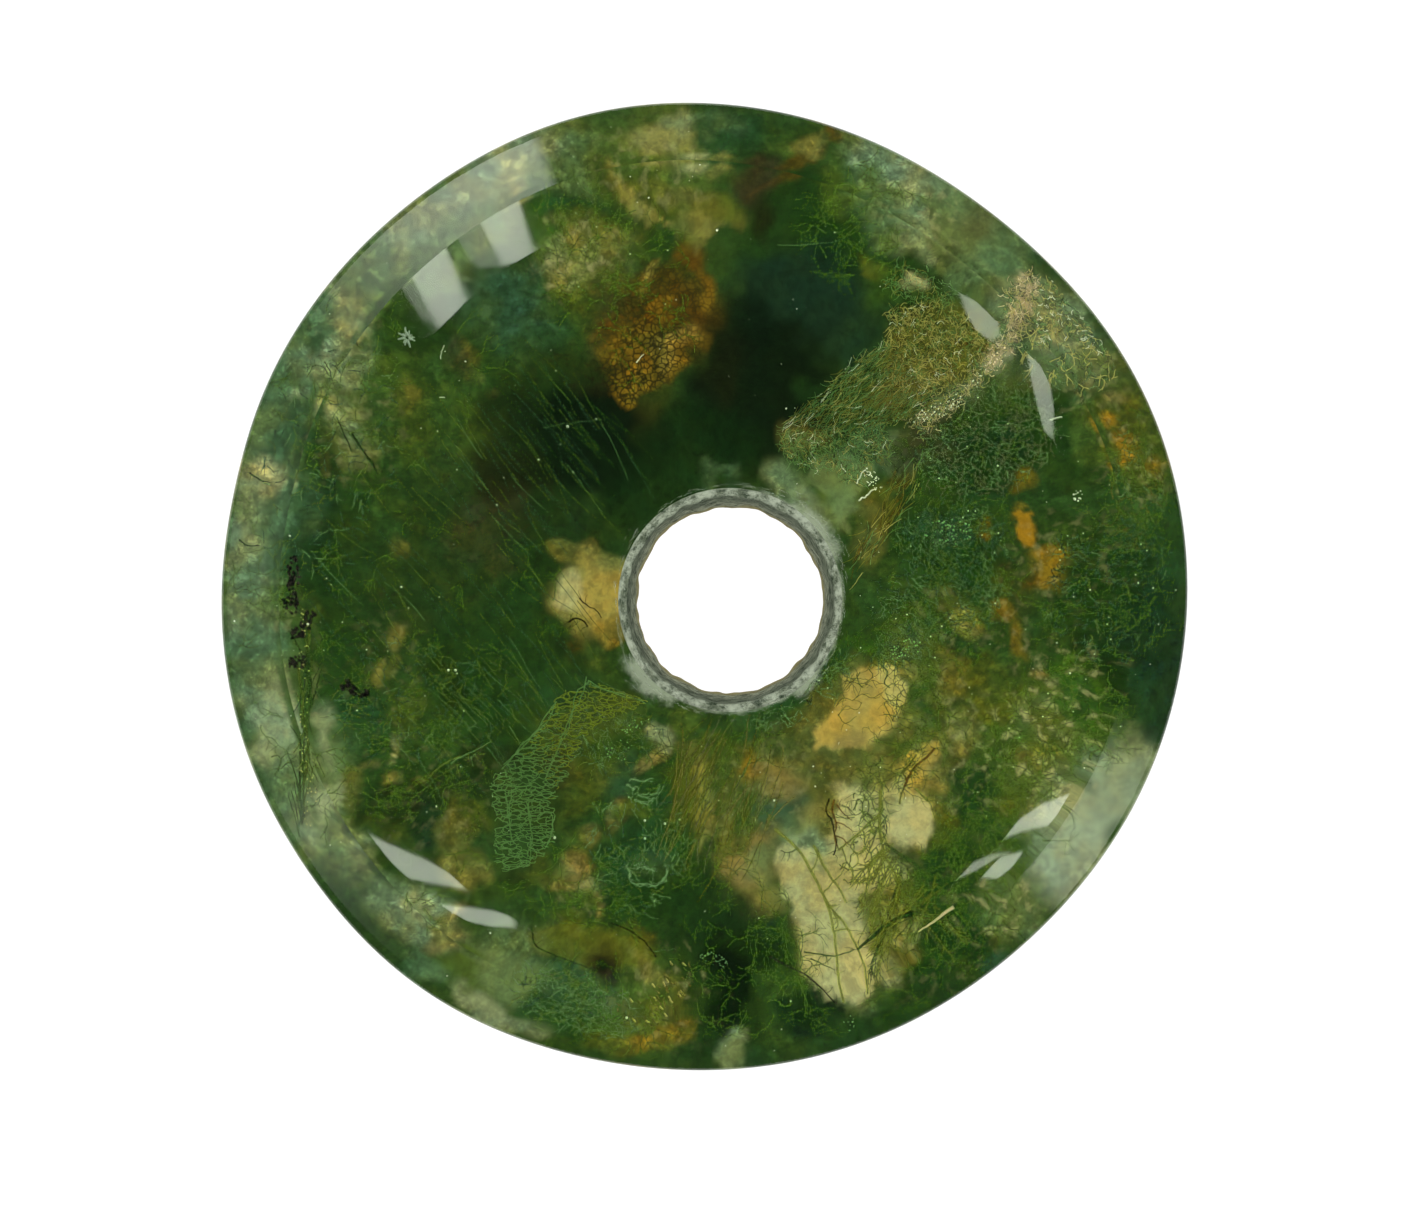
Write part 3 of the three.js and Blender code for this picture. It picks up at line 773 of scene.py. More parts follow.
def driftBy(points, scale, amount):
    # smooth wandering: random steps on a lattice, blended in between
    size = latticeSize
    lattice = np.random.default_rng(drift["seed"]).uniform(-1, 1, (size, size, size, 3))
    places = points * scale + size / 2
    low = np.floor(places).astype(int)
    t = ease(places - low)
    total = np.zeros_like(points)
    for corner in np.ndindex(2, 2, 2):
        x, y, z = ((low + corner) % size).T
        weight = np.prod(np.where(corner, t, 1 - t), axis=1)
        total += weight[:, None] * lattice[x, y, z]
    return total * amount


def seenThrough(points):
    # the polish bends the view, so the back is painted at the place where each spot is seen
    radius, height = skin[:, 0], skin[:, 1]
    slope = np.arctan2(-np.gradient(height), np.gradient(radius))
    slope[radius < donut["flatEdge"]] = 0
    seenFromAbove = slope < math.radians(steepest)
    radius, height, slope = radius[seenFromAbove], height[seenFromAbove], slope[seenFromAbove]
    sight = np.arctan2(radius, view["height"] / mm - height)
    bent = np.arcsin(np.sin(sight + slope) / body["ior"]) - slope
    landing = np.maximum.accumulate(radius + height * np.tan(bent))
    flat = points[:, :2]
    reach = np.hypot(*flat.T)
    unground = beforeGrinding(points)
    stretch = (np.interp(unground, landing, radius) + reach - unground) / np.maximum(reach, 0.1)
    seen = points.copy()
    back = points[:, 2] < donut["backRounding"] / 2
    seen[back, :2] = (flat * stretch[:, None])[back]
    seen[:, 2] = 0
    return seen


def paintStone(mesh):
    # the soft colour of the stone and its traits, kept on the mesh as the attributes "paint" and "traits"
    points = seenThrough(np.array([v.co for v in mesh.vertices]) / mm)
    moved = points + driftBy(points, drift["wideScale"], drift["wide"])
    moved += driftBy(points, drift["narrowScale"], drift["narrow"])
    edged = points + driftBy(points, drift["paneScale"], drift["pane"])
    rgba = np.ones((len(points), 4), np.float32)
    rgba[:, :3] = linear(finishes["verdant"])
    # red: light flecks, green: cells of the stain, blue: calm parts without moss
    traits = np.zeros((len(points), 4), np.float32)

    def paintOver(name, amount):
        rgba[:, :3] += amount[:, None] * (np.array(linear(finishes[name])) - rgba[:, :3])

    for zone in spots.values():
        for x, y, halfLength, halfWidth, turn, name, strength, *softness in zone:
            paintOver(name, strength * nearSpot(moved, x, y, halfLength, halfWidth, turn, *softness))
    for outline, name, strength, edge in panes.values():
        amount = strength * insideOutline(edged, outline, edge)
        paintOver(name, amount)
        traits[:, 2] = np.maximum(traits[:, 2], amount)
    for channel, patches in enumerate((flecks, stainCells, calmSpots)):
        for *ellipse, strength in patches:
            traits[:, channel] = np.maximum(traits[:, channel], strength * nearSpot(moved, *ellipse))
    # alpha: the frosted ground round the mouth of the hole
    centre = donut["holeCentre"]
    fromHole = points[:, :2] - centre
    away = np.hypot(*fromHole.T) - donut["mouthRadius"]
    direction = np.degrees(np.arctan2(fromHole[:, 1], fromHole[:, 0]))
    for towards, width, reach, strength in mouthWear:
        turned = (direction - towards + 180) % 360 - 180
        amount = strength * np.exp(-((turned / width) ** 2)) * np.clip(1 - away / reach, 0, 1)
        traits[:, 3] = np.maximum(traits[:, 3], amount)
    for name, values in (("paint", rgba), ("traits", traits)):
        layer = mesh.color_attributes.new(name, "FLOAT_COLOR", "POINT")
        layer.data.foreach_set("color", values.ravel())


def makeStone():
    section = stoneSection()
    bm = bmesh.new()
    verts = [bm.verts.new((p.x, 0, p.y)) for p in section]
    edges = [bm.edges.new((verts[i - 1], verts[i])) for i in range(len(verts))]
    bmesh.ops.spin(bm, geom=verts + edges, cent=(0, 0, 0), axis=(0, 0, 1), angle=2 * math.pi,
                   steps=donut["stepsAround"], use_merge=True)
    for edge in bm.edges:
        radii = [math.hypot(v.co.x, v.co.y) for v in edge.verts]
        edge.smooth = not any(max(abs(r - crisp) for r in radii) < 1e-4
                              for crisp in (donut["ridge"], donut["mouthRadius"]))
    grindByHand(bm)
    roughenWall(bm)
    bmesh.ops.recalc_face_normals(bm, faces=bm.faces)
    for face in bm.faces:
        face.smooth = True
        face.material_index = 1 if isWall(face.calc_center_median()) else 0
    bmesh.ops.scale(bm, vec=(mm, mm, mm), verts=bm.verts)
    xs = [v.co.x for v in bm.verts]
    ys = [v.co.y for v in bm.verts]
    middle = Vector(((min(xs) + max(xs)) / 2, (min(ys) + max(ys)) / 2, 0))
    bmesh.ops.translate(bm, vec=-middle, verts=bm.verts)
    bmesh.ops.scale(bm, vec=(donut["polish"], donut["polish"], 1), verts=bm.verts)
    stone = addMesh("polishedStone", bm)
    paintStone(stone.data)
    print("polished stone:", len(stone.data.polygons), "faces")
    return stone


# shader helpers
def newMaterial(name, sockets):
    material = bpy.data.materials.new(name)
    material.use_nodes = True
    tree = material.node_tree
    shader = tree.nodes["Principled BSDF"]
    for key, value in sockets.items():
        shader.inputs[key].default_value = value
    return material, tree, shader


def addNode(tree, kind, inputs=None, **settings):
    node = tree.nodes.new("ShaderNode" + kind)
    for key, value in settings.items():
        setattr(node, key, value)
    for key, value in (inputs or {}).items():
        if isinstance(value, bpy.types.NodeSocket):
            tree.links.new(value, node.inputs[key])
        else:
            node.inputs[key].default_value = value
    return node


def millimetres(tree):
    # Object coordinates as millimetres
    coords = addNode(tree, "TexCoord")
    scaled = addNode(tree, "VectorMath", {0: coords.outputs["Object"]}, operation="SCALE")
    scaled.inputs["Scale"].default_value = 1 / mm
    return scaled.outputs[0]


def mapRange(tree, value, fromLow, fromHigh, toLow, toHigh, smooth=True):
    inputs = {"Value": value, "From Min": fromLow, "From Max": fromHigh, "To Min": toLow, "To Max": toHigh}
    kind = "SMOOTHSTEP" if smooth else "LINEAR"
    return addNode(tree, "MapRange", inputs, interpolation_type=kind).outputs["Result"]


def mixColour(tree, kind, factor, a, b):
    return addNode(tree, "Mix", {0: factor, 6: a, 7: b}, data_type="RGBA", blend_type=kind).outputs[2]


def combine(tree, operation, a, b):
    return addNode(tree, "Math", {0: a, 1: b}, operation=operation).outputs[0]


def agateMaterial():
    material, tree, shader = newMaterial("moss agate", {
        "Roughness": body["roughness"], "IOR": body["ior"], "Transmission Weight": body["transmission"]})
    place = millimetres(tree)
    paint = addNode(tree, "VertexColor", layer_name="paint")
    traits = addNode(tree, "VertexColor", layer_name="traits")
    marks = addNode(tree, "SeparateColor", {0: traits.outputs["Color"]})
    swirl = addNode(tree, "TexNoise", {"Vector": place, "Scale": body["warpScale"], "Detail": 3.0})
    warped = addNode(tree, "VectorMath", {0: swirl.outputs["Color"], 1: (body["warp"],) * 3, 2: place},
                     operation="MULTIPLY_ADD").outputs[0]
    # soft light and dark
    mottle = addNode(tree, "TexNoise", {"Vector": warped, "Scale": body["mottleScale"],
                                        "Detail": 5.0, "Roughness": 0.66})
    light = mapRange(tree, mottle.outputs["Fac"], *body["mottleRange"], *body["mottle"])
    lively = mapRange(tree, marks.outputs["Blue"], 0.0, 1.0, 1.0, body["calmMottle"], smooth=False)
    colour = mixColour(tree, "MULTIPLY", lively, paint.outputs["Color"], light)
    hue = addNode(tree, "TexNoise", {"Vector": place, "Scale": body["hueScale"], "Detail": 3.0})
    warmth = mapRange(tree, hue.outputs["Fac"], *body["hueRange"], 0.0, 1.0)
    tint = mixColour(tree, "MIX", warmth, body["cool"], body["warm"])
    colour = mixColour(tree, "MULTIPLY", lively, colour, tint)
    # threads of moss that are too fine and too many to be pieces
    moss = addNode(tree, "TexNoise", {"Vector": warped, "Scale": body["mossScale"], "Detail": 5.0,
                                      "Roughness": 0.75, "Lacunarity": 2.3, "Offset": 1.0,
                                      "Gain": 1.6}, noise_type="RIDGED_MULTIFRACTAL")
    threads = mapRange(tree, moss.outputs["Fac"], *body["mossRange"], 0.0, body["mossStrength"])
    clear = mapRange(tree, marks.outputs["Blue"], *body["mossCalm"], 1.0, 0.0)
    threads = combine(tree, "MULTIPLY", threads, clear)
    colour = mixColour(tree, "MIX", threads, colour, finish("deep"))
    # light gaps between the moss
    gaps = addNode(tree, "TexNoise", {"Vector": place, "Scale": body["fleckScale"], "Detail": 3.0,
                                      "Roughness": 0.5, "Distortion": 0.25})
    gap = mapRange(tree, gaps.outputs["Fac"], *body["fleckRange"], 0.0, body["fleckStrength"])
    gap = combine(tree, "MULTIPLY", gap, marks.outputs["Red"])
    colour = mixColour(tree, "MIX", gap, colour, finish("cream"))
    # cells of the orange stain, with a dark web between them
    cells = addNode(tree, "TexVoronoi", {"Vector": warped, "Scale": body["cellScale"]},
                    feature="DISTANCE_TO_EDGE")
    web = mapRange(tree, cells.outputs["Distance"], *body["cellWeb"], body["cellWebStrength"], 0.0)
    web = combine(tree, "MULTIPLY", web, marks.outputs["Green"])
    colour = mixColour(tree, "MIX", web, colour, finish("umber"))
    # frosted ground round the mouth of the hole
    smear = addNode(tree, "TexNoise", {"Vector": place, "Scale": body["smearScale"], "Detail": 8.0,
                                       "Roughness": 0.72})
    frost = combine(tree, "SUBTRACT", traits.outputs["Alpha"], smear.outputs["Fac"])
    frost = mapRange(tree, frost, *body["frostRange"], 0.0, body["frost"])
    colour = mixColour(tree, "MIX", frost, colour, finish("frost"))
    # light crosses the back and the front once each; the front takes only a small share
    split = addNode(tree, "SeparateXYZ", {0: place})
    share = mapRange(tree, split.outputs["Z"], *body["frontHeights"], 2 - 2 * body["frontShare"],
                     2 * body["frontShare"])
    shared = addNode(tree, "Gamma", {"Color": colour, "Gamma": share})
    tree.links.new(shared.outputs[0], shader.inputs["Base Color"])
    depth = addNode(tree, "VolumeAbsorption", {"Color": body["absorption"],
                                               "Density": body["absorptionDensity"]})
    tree.links.new(depth.outputs["Volume"], tree.nodes["Material Output"].inputs["Volume"])
    return material


# the frosted wall of the hole: heights in mm above the back
groundStone = {
    "roughness": 0.8,
    "specular": 0.1,
    "streak": (1.0, 1.0, 2.4),
    "grainScale": 2.4,
    "dark": (40, 50, 34),
    "pale": (158, 166, 140),
    "grainRange": (0.4, 0.62),
    "patchScale": 1.5,
    "patchRange": (0.42, 0.6),
    "patch": 0.75,
    "bandHeights": (4.1, 5.0),
    "band": 0.5,
    "bevelHeights": (5.4, 5.8),
    # the warm waist is partly its own colour and partly painted light, made lighter against the shade deep
    # in the hole
    "waistHeights": (3.0, 3.9),
    "waist": 0.8,
    "bump": 0.8,
    "bumpDepth": 0.0001,  # metres
}


def groundMaterial():
    g = groundStone
    material, tree, shader = newMaterial("ground stone", {
        "Roughness": g["roughness"], "Specular IOR Level": g["specular"]})
    place = millimetres(tree)
    streak = addNode(tree, "Mapping", {"Vector": place, "Scale": g["streak"]})
    grain = addNode(tree, "TexNoise", {"Vector": streak.outputs[0], "Scale": g["grainScale"],
                                       "Detail": 8.0, "Roughness": 0.8})
    ramp = addNode(tree, "ValToRGB", {"Fac": grain.outputs["Fac"]})
    for end, position, name in zip(ramp.color_ramp.elements, g["grainRange"], ("dark", "pale")):
        end.position, end.color = position, (*linear(g[name]), 1)
    height = addNode(tree, "SeparateXYZ", {0: place}).outputs["Z"]
    patches = addNode(tree, "TexNoise", {"Vector": place, "Scale": g["patchScale"], "Detail": 8.0,
                                         "Roughness": 0.8})
    patch = mapRange(tree, patches.outputs["Fac"], *g["patchRange"], 0.0, g["patch"])
    colour = ramp.outputs["Color"]
    # a dark band round the top of the wall, the pale bevel above it, and a warm waist: its own colour, made
    # lighter as painted light against the shade deep in the hole
    band = mapRange(tree, height, *g["bandHeights"], 0.0, g["band"])
    colour = mixColour(tree, "MIX", band, colour, finish("dusk"))
    bevel = mapRange(tree, height, *g["bevelHeights"], 0.0, 1.0)
    bevel = combine(tree, "MULTIPLY", bevel, patch)
    colour = mixColour(tree, "MIX", bevel, colour, finish("frost"))
    litWaist = mapRange(tree, height, *g["waistHeights"], g["waist"], 0.0)
    colour = mixColour(tree, "MIX", litWaist, colour, finish("waist"))
    tree.links.new(colour, shader.inputs["Base Color"])
    bump = addNode(tree, "Bump", {"Height": grain.outputs["Fac"], "Strength": g["bump"],
                                  "Distance": g["bumpDepth"]})
    tree.links.new(bump.outputs["Normal"], shader.inputs["Normal"])
    return material


# threads, grains and veins inside the stone: each path is a list of points and half widths in mm
skin = np.array([p for p in stoneSection() if p.x > donut["mouthRadius"] - 0.01
                 and p.y > donut["backRounding"]])


def topAt(radius):
    return np.interp(radius, skin[:, 0], skin[:, 1])


def beforeGrinding(points):
    # the radius that a place had before the outline was ground
    radius = np.hypot(points[..., 0], points[..., 1])
    direction = np.degrees(np.arctan2(points[..., 1], points[..., 0]))
    outwards = easeBetween(radius, donut["mouthRadius"], donut["radius"])
    return radius - outlineHeight(direction) * outwards


clearance = {"rim": 19.5, "hole": 0.1, "skin": 0.12}


def insideStone(points, margin=clearance["skin"]):
    # whether each point is inside the polished skin and clear of the hole
    radius = beforeGrinding(points)
    centre = donut["holeCentre"]
    fromHole = np.hypot(points[..., 0] - centre[0], points[..., 1] - centre[1])
    below = points[..., 2] < topAt(radius) - margin
    clear = (radius < clearance["rim"]) & (fromHole > donut["mouthRadius"] + clearance["hole"])
    return below & (points[..., 2] > margin) & clear


# threads thin towards their tips and from parent to branch, forks vary, and beds fray
growth = {"tip": 0.45, "thinner": 0.72, "forks": 0.2, "fray": 1.08}


def scatter(rng, bed, count):
    # random places in an ellipse given in the photo's pixels
    x, y, halfLength, halfWidth, turn = bed
    reach = np.sqrt(rng.random(count)) * growth["fray"]
    around = rng.random(count) * 2 * math.pi
    turn = math.radians(turn)
    along = reach * np.cos(around) * halfLength / photo["pixelsPerMm"]
    beside = reach * np.sin(around) * halfWidth / photo["pixelsPerMm"]
    return np.stack([across(x) + along * math.cos(turn) - beside * math.sin(turn),
                     upwards(y) + along * math.sin(turn) + beside * math.cos(turn)], axis=1)


def wander(rng, starts, headings, habit, stride):
    # threads that walk on from their starts, turning a little at every step
    count, steps = len(starts), habit["steps"]
    bend = rng.normal(0, habit["curl"] / 2, (count, 1)) + rng.normal(0, habit["curl"], (count, steps))
    turning = headings[:, None] + bend.cumsum(axis=1)
    rise = rng.normal(0, habit["rise"], (count, 1)) + rng.normal(0, habit["rise"], (count, steps))
    strides = np.stack([np.cos(turning), np.sin(turning), rise], axis=2) * stride
    points = starts[:, None] + np.concatenate([np.zeros((count, 1, 3)), strides.cumsum(axis=1)], axis=1)
    return points, np.concatenate([headings[:, None], turning], axis=1)


def growMoss(rng, bed, plants, habit, heights, material=0):
    # branching threads: each grows side branches, and these grow finer ones
    starts = np.empty((plants, 3))
    starts[:, :2] = bed if isinstance(bed, np.ndarray) else scatter(rng, bed, plants)
    radius = np.hypot(starts[:, 0], starts[:, 1])
    low, high = heights
    starts[:, 2] = (low + (high - low) * rng.random(plants)) * topAt(radius)
    headings = rng.random(plants) * 2 * math.pi
    if "lean" in habit:
        headings = np.radians(habit["lean"] + rng.normal(0, habit["leanSpread"], plants))
        headings += math.pi * (rng.random(plants) < 0.5)
    paths = []
    stride, halfWidth = habit["stride"], habit["halfWidth"]
    for level in range(habit["levels"]):
        points, turning = wander(rng, starts, headings, habit, stride)
        inside = insideStone(points)
        widths = halfWidth * np.linspace(1, growth["tip"], habit["steps"] + 1)
        for line, within in zip(points, inside):
            kept = len(within) if within.all() else int(np.argmin(within))
            if kept > 2:
                paths.append((line[:kept], widths[:kept], material))
        parents = np.repeat(np.arange(len(points)), habit["branches"])
        at = rng.integers(1, habit["steps"], len(parents))
        starts = points[parents, at]
        side = np.where(rng.random(len(parents)) < 0.5, -1, 1)
        headings = turning[parents, at] + side * rng.normal(habit["spread"], growth["forks"], len(parents))
        stride, halfWidth = stride * habit["shrink"], halfWidth * growth["thinner"]
    return paths


def makeThreads(name, paths, materials):
    # drawn as curves with a four-sided section, then made mesh
    curve = bpy.data.curves.new(name, "CURVE")
    curve.dimensions = "3D"
    curve.bevel_depth = mm
    curve.bevel_resolution = 0
    curve.use_fill_caps = True
    for material in materials:
        curve.materials.append(material)
    for points, halfWidths, material in paths:
        spline = curve.splines.new("POLY")
        spline.points.add(len(points) - 1)
        places = np.ones((len(points), 4), np.float32)
        places[:, :3] = np.array(points) * mm
        spline.points.foreach_set("co", places.ravel())
        spline.points.foreach_set("radius", np.array(halfWidths, np.float32))
        spline.material_index = material
    holder = addObject(name, curve)
    mesh = bpy.data.meshes.new_from_object(holder)
    bpy.data.objects.remove(holder)
    bpy.data.curves.remove(curve)
    keepPiece(addObject(name, mesh))
    print(name + ":", len(paths), "threads,", len(mesh.polygons), "faces")


def threadMaterial(name, colour, alpha):
    # lit from above through the polish, and partly see-through
    return newMaterial(name, {"Base Color": finish(colour), "Roughness": 0.6, "Specular IOR Level": 0.0,
                              "Alpha": alpha})[0]


# green moss at every depth. A bed: middle x, middle y, half length, half width, turn, plants
mossHabit = {"steps": 6, "stride": 0.17, "curl": 0.34, "rise": 0.12, "levels": 3, "branches": 2,
             "spread": 0.75, "shrink": 0.72, "halfWidth": 0.026}
mossBeds = {
    "leftMoss": [
        (300, 450, 130, 60, 75, 20), (400, 400, 90, 70, 40, 20), (290, 640, 130, 50, 95, 24),
        (440, 620, 120, 110, 30, 30), (400, 760, 90, 50, 10, 40), (440, 860, 80, 50, -40, 16),
    ],
    "upperMoss": [
        (590, 240, 60, 50, 0, 40), (640, 300, 50, 60, 0, 24), (860, 230, 40, 60, 0, 40),
        (960, 430, 80, 50, 20, 50), (960, 545, 60, 50, 0, 50), (1100, 600, 70, 60, 60, 50),
        (1140, 480, 70, 30, 80, 50), (940, 630, 60, 30, 0, 40),
    ],
    "rightMoss": [
        (1055, 730, 70, 46, 45, 84), (1000, 790, 50, 40, 50, 50), (985, 850, 60, 30, 40, 48),
        (940, 890, 46, 40, 0, 48), (900, 765, 70, 14, 48, 40), (912, 700, 60, 10, 78, 30),
        (860, 656, 60, 10, 10, 40), (940, 950, 70, 40, 30, 46),
    ],
    "bottomMoss": [
        (797, 965, 60, 8, -75, 30), (740, 960, 50, 60, 0, 30), (700, 760, 80, 30, 10, 30),
        (720, 830, 40, 50, 0, 30), (640, 870, 50, 50, 0, 24), (600, 1000, 60, 30, -20, 50),
        (570, 890, 50, 30, -20, 24),
    ],
}


mossHeights = (0.1, 0.97)  # shares of the stone's thickness, as in the beds below


def makeMoss(rng):
    green = threadMaterial("moss thread", "fresh", alpha=0.5)
    for name, beds in mossBeds.items():
        paths = []
        for *bed, plants in beds:
            paths += growMoss(rng, bed, plants, mossHabit, mossHeights)
        makeThreads(name, paths, [green])


# loose fibres without branches, in beds with an outline in the photo's pixels: outline, habit,
# how many, share of each colour
unbranched = {"levels": 1, "branches": 0, "spread": 0, "shrink": 1}
matHabits = {
    "curly": {**unbranched, "steps": 5, "stride": 0.08, "curl": 0.45, "rise": 0.12, "halfWidth": 0.015},
    "hair": {**unbranched, "steps": 5, "stride": 0.12, "curl": 0.22, "rise": 0.1, "halfWidth": 0.013,
             "lean": 40, "leanSpread": 0.7},
    "strand": {**unbranched, "steps": 5, "stride": 0.18, "curl": 0.14, "rise": 0.04, "halfWidth": 0.017,
               "lean": 58, "leanSpread": 0.22},
}
matHabits["crust"] = {**matHabits["curly"], "stride": 0.05, "halfWidth": 0.018}
matHeights = (0.86, 0.98)
matColours = ["hay", "khaki", "rust", "fern", "deep", "ash"]
matBeds = [
    ([(888, 312), (920, 302), (958, 312), (978, 330), (995, 346), (985, 362), (966, 380), (952, 394),
      (936, 392), (915, 396), (896, 390), (885, 372), (888, 335)], "curly", 1640,
     (0.3, 0.28, 0.12, 0.16, 0.12, 0.02)),
    ([(850, 362), (888, 345), (909, 388), (942, 405), (915, 421), (882, 426), (834, 432), (791, 434),
      (780, 430), (796, 413), (812, 399), (828, 388), (839, 372)], "hair", 1100,
     (0.08, 0.3, 0.04, 0.38, 0.18, 0.02)),
    ([(780, 437), (812, 432), (882, 429), (890, 442), (888, 458), (866, 469), (863, 485), (845, 480),
      (839, 469), (812, 470), (791, 464), (780, 452)], "curly", 800, (0.08, 0.14, 0.0, 0.6, 0.16, 0.02)),
    ([(893, 470), (917, 466), (920, 480), (904, 510), (884, 545), (862, 574), (852, 560), (868, 524),
      (884, 498)], "strand", 90, (0.1, 0.45, 0.2, 0.15, 0.1, 0.0)),
    ([(1036, 272), (1062, 284), (1090, 316), (1116, 346), (1120, 362), (1092, 352), (1060, 338),
      (1040, 346), (1032, 330), (1038, 300)], "crust", 640, (0.25, 0.05, 0.0, 0.4, 0.1, 0.2)),
    ([(890, 262), (930, 270), (962, 300), (940, 312), (900, 300), (884, 286)], "curly", 200,
     (0.05, 0.15, 0.0, 0.5, 0.3, 0.0)),
]


def scatterWithin(rng, outline, count):
    # random places inside an outline given in the photo's pixels
    corners = np.array([(across(x), upwards(y)) for x, y in outline])
    tries = rng.uniform(corners.min(0), corners.max(0), (count * 6, 2))
    return tries[insideOutline(tries, outline, 1) > 0.5][:count]


def makeMat(rng):
    paths = []
    for outline, habit, count, shares in matBeds:
        places = scatterWithin(rng, outline, count)
        colours = rng.choice(len(shares), len(places), p=shares)
        for colour in range(len(shares)):
            chosen = places[colours == colour]
            paths += growMoss(rng, chosen, len(chosen), matHabits[habit], matHeights, colour)
    makeThreads("fibreMat", paths, [threadMaterial(c + " fibre", c, alpha=0.75) for c in matColours])


# long faint fibres and fuzz near the polish, mostly over dark stone
fineHabits = {
    "straight": {**unbranched, "steps": 6, "stride": 0.42, "curl": 0.05, "rise": 0.02,
                 "halfWidth": 0.016, "lean": -52, "leanSpread": 0.4},
    "ridge": {**unbranched, "steps": 6, "stride": 0.3, "curl": 0.1, "rise": 0.03, "halfWidth": 0.04,
              "lean": 88, "leanSpread": 0.16},
    "drape": {**unbranched, "steps": 8, "stride": 0.24, "curl": 0.06, "rise": 0.03, "halfWidth": 0.03,
              "lean": 66, "leanSpread": 0.16},
    "fuzz": {"steps": 4, "stride": 0.13, "curl": 0.3, "rise": 0.1, "levels": 2, "branches": 1,
             "spread": 0.7, "shrink": 0.8, "halfWidth": 0.026},
    "flake": {**unbranched, "steps": 2, "stride": 0.1, "curl": 0.2, "rise": 0.02, "halfWidth": 0.04,
              "lean": -48, "leanSpread": 0.3},
}
fineHeights = (0.8, 0.98)
fineColours = ["fern", "leaf", "teal", "hay", "drab", "khaki", "olive", "moss"]
fineBeds = [
    ("straight", (440, 590, 150, 130, 45, 110), (0.1, 0.5, 0.4, 0)),
    ("straight", (540, 440, 90, 60, 0, 40), (0.1, 0.4, 0.5, 0)),
    ("straight", (500, 720, 90, 20, 28, 50), (0.3, 0.4, 0.3, 0)),
    ("ridge", (308, 735, 96, 5, 88, 50), (0, 0.3, 0.1, 0, 0, 0, 0, 0.6)),
    ("drape", (725, 800, 44, 60, 0, 64), (0, 0.3, 0, 0, 0.1, 0.35, 0.25)),
    ("drape", (690, 790, 20, 50, 0, 40), (0, 0.2, 0, 0, 0.1, 0.5, 0.2)),
    ("fuzz", (985, 440, 66, 50, 20, 460), (0.35, 0.1, 0.1, 0, 0.45)),
    ("fuzz", (952, 540, 50, 34, 0, 300), (0.3, 0.2, 0.5, 0, 0)),
    ("fuzz", (940, 600, 60, 30, 0, 200), (0.4, 0.3, 0.3, 0, 0)),
    ("fuzz", (1060, 340, 60, 44, -40, 300), (0.35, 0, 0.1, 0.25, 0.3)),
    ("fuzz", (1110, 590, 70, 60, 60, 200), (0.1, 0.2, 0.7, 0, 0)),
    ("straight", (570, 440, 60, 50, 0, 36), (0, 0.1, 0.2, 0, 0, 0, 0, 0.7)),
    ("fuzz", (330, 470, 120, 60, 75, 130), (0.2, 0.3, 0.5, 0)),
    ("fuzz", (430, 700, 90, 60, 0, 160), (0.1, 0.5, 0.4, 0)),
    ("fuzz", (580, 1000, 60, 26, -20, 220), (0.6, 0.2, 0.2, 0)),
    ("fuzz", (640, 850, 50, 60, 0, 120), (0.5, 0.3, 0.2, 0)),
    ("fuzz", (1140, 480, 70, 26, 80, 160), (0.2, 0.6, 0.0, 0, 0, 0.2)),
    ("fuzz", (905, 646, 30, 12, 20, 90), (0.6, 0.2, 0.2, 0)),
    ("fuzz", (800, 690, 60, 20, 30, 100), (0.6, 0.2, 0.2, 0)),
    ("fuzz", (600, 735, 50, 30, 10, 160), (0.4, 0.4, 0.2, 0)),
    ("flake", (668, 985, 18, 30, -45, 36), (0, 0, 0, 0.3, 0, 0.7)),
    ("flake", (645, 1010, 30, 14, 0, 20), (0, 0, 0, 0.3, 0, 0.7)),
]


def makeFineFibres(rng):
    fibres, fuzz = [], []
    for habit, (*bed, count), shares in fineBeds:
        paths = fuzz if habit == "fuzz" else fibres
        for colour, share in enumerate(shares):
            paths += growMoss(rng, bed, int(count * share), fineHabits[habit], fineHeights, colour)
    colours = [threadMaterial(c + " fuzz", c, alpha=0.65) for c in fineColours]
    makeThreads("fineFibres", fibres, colours)
    makeThreads("fuzz", fuzz, colours)


def spotAt(x, y, depth):
    # a place under the polish: pixels of the photo, and millimetres down
    point = np.array((across(x), upwards(y), 0.0))
    point[2] = topAt(beforeGrinding(point)) - depth
    return point


def drawn(outline, depth, halfWidths, shake=0.0, rng=None, parts=4):
    # a given line in the photo's pixels, smoothed and shaken a little
    corners = np.array([spotAt(x, y, depth) for x, y in outline])
    at = np.linspace(0, len(corners) - 1, (len(corners) - 1) * parts + 1)
    low = np.minimum(at.astype(int), len(corners) - 2)
    t = (at - low)[:, None]
    before = corners[np.maximum(low - 1, 0)]
    after = corners[np.minimum(low + 2, len(corners) - 1)]
    a, b = corners[low], corners[low + 1]
    line = a + 0.5 * t * (b - before + t * (2 * before - 5 * a + 4 * b - after
                                            + t * (3 * (a - b) + after - before)))
    if rng is not None:
        line[:, :2] += rng.normal(0, shake, (len(line), 2))
    widths = np.linspace(*halfWidths, len(line)) / photo["pixelsPerMm"]
    return line, widths


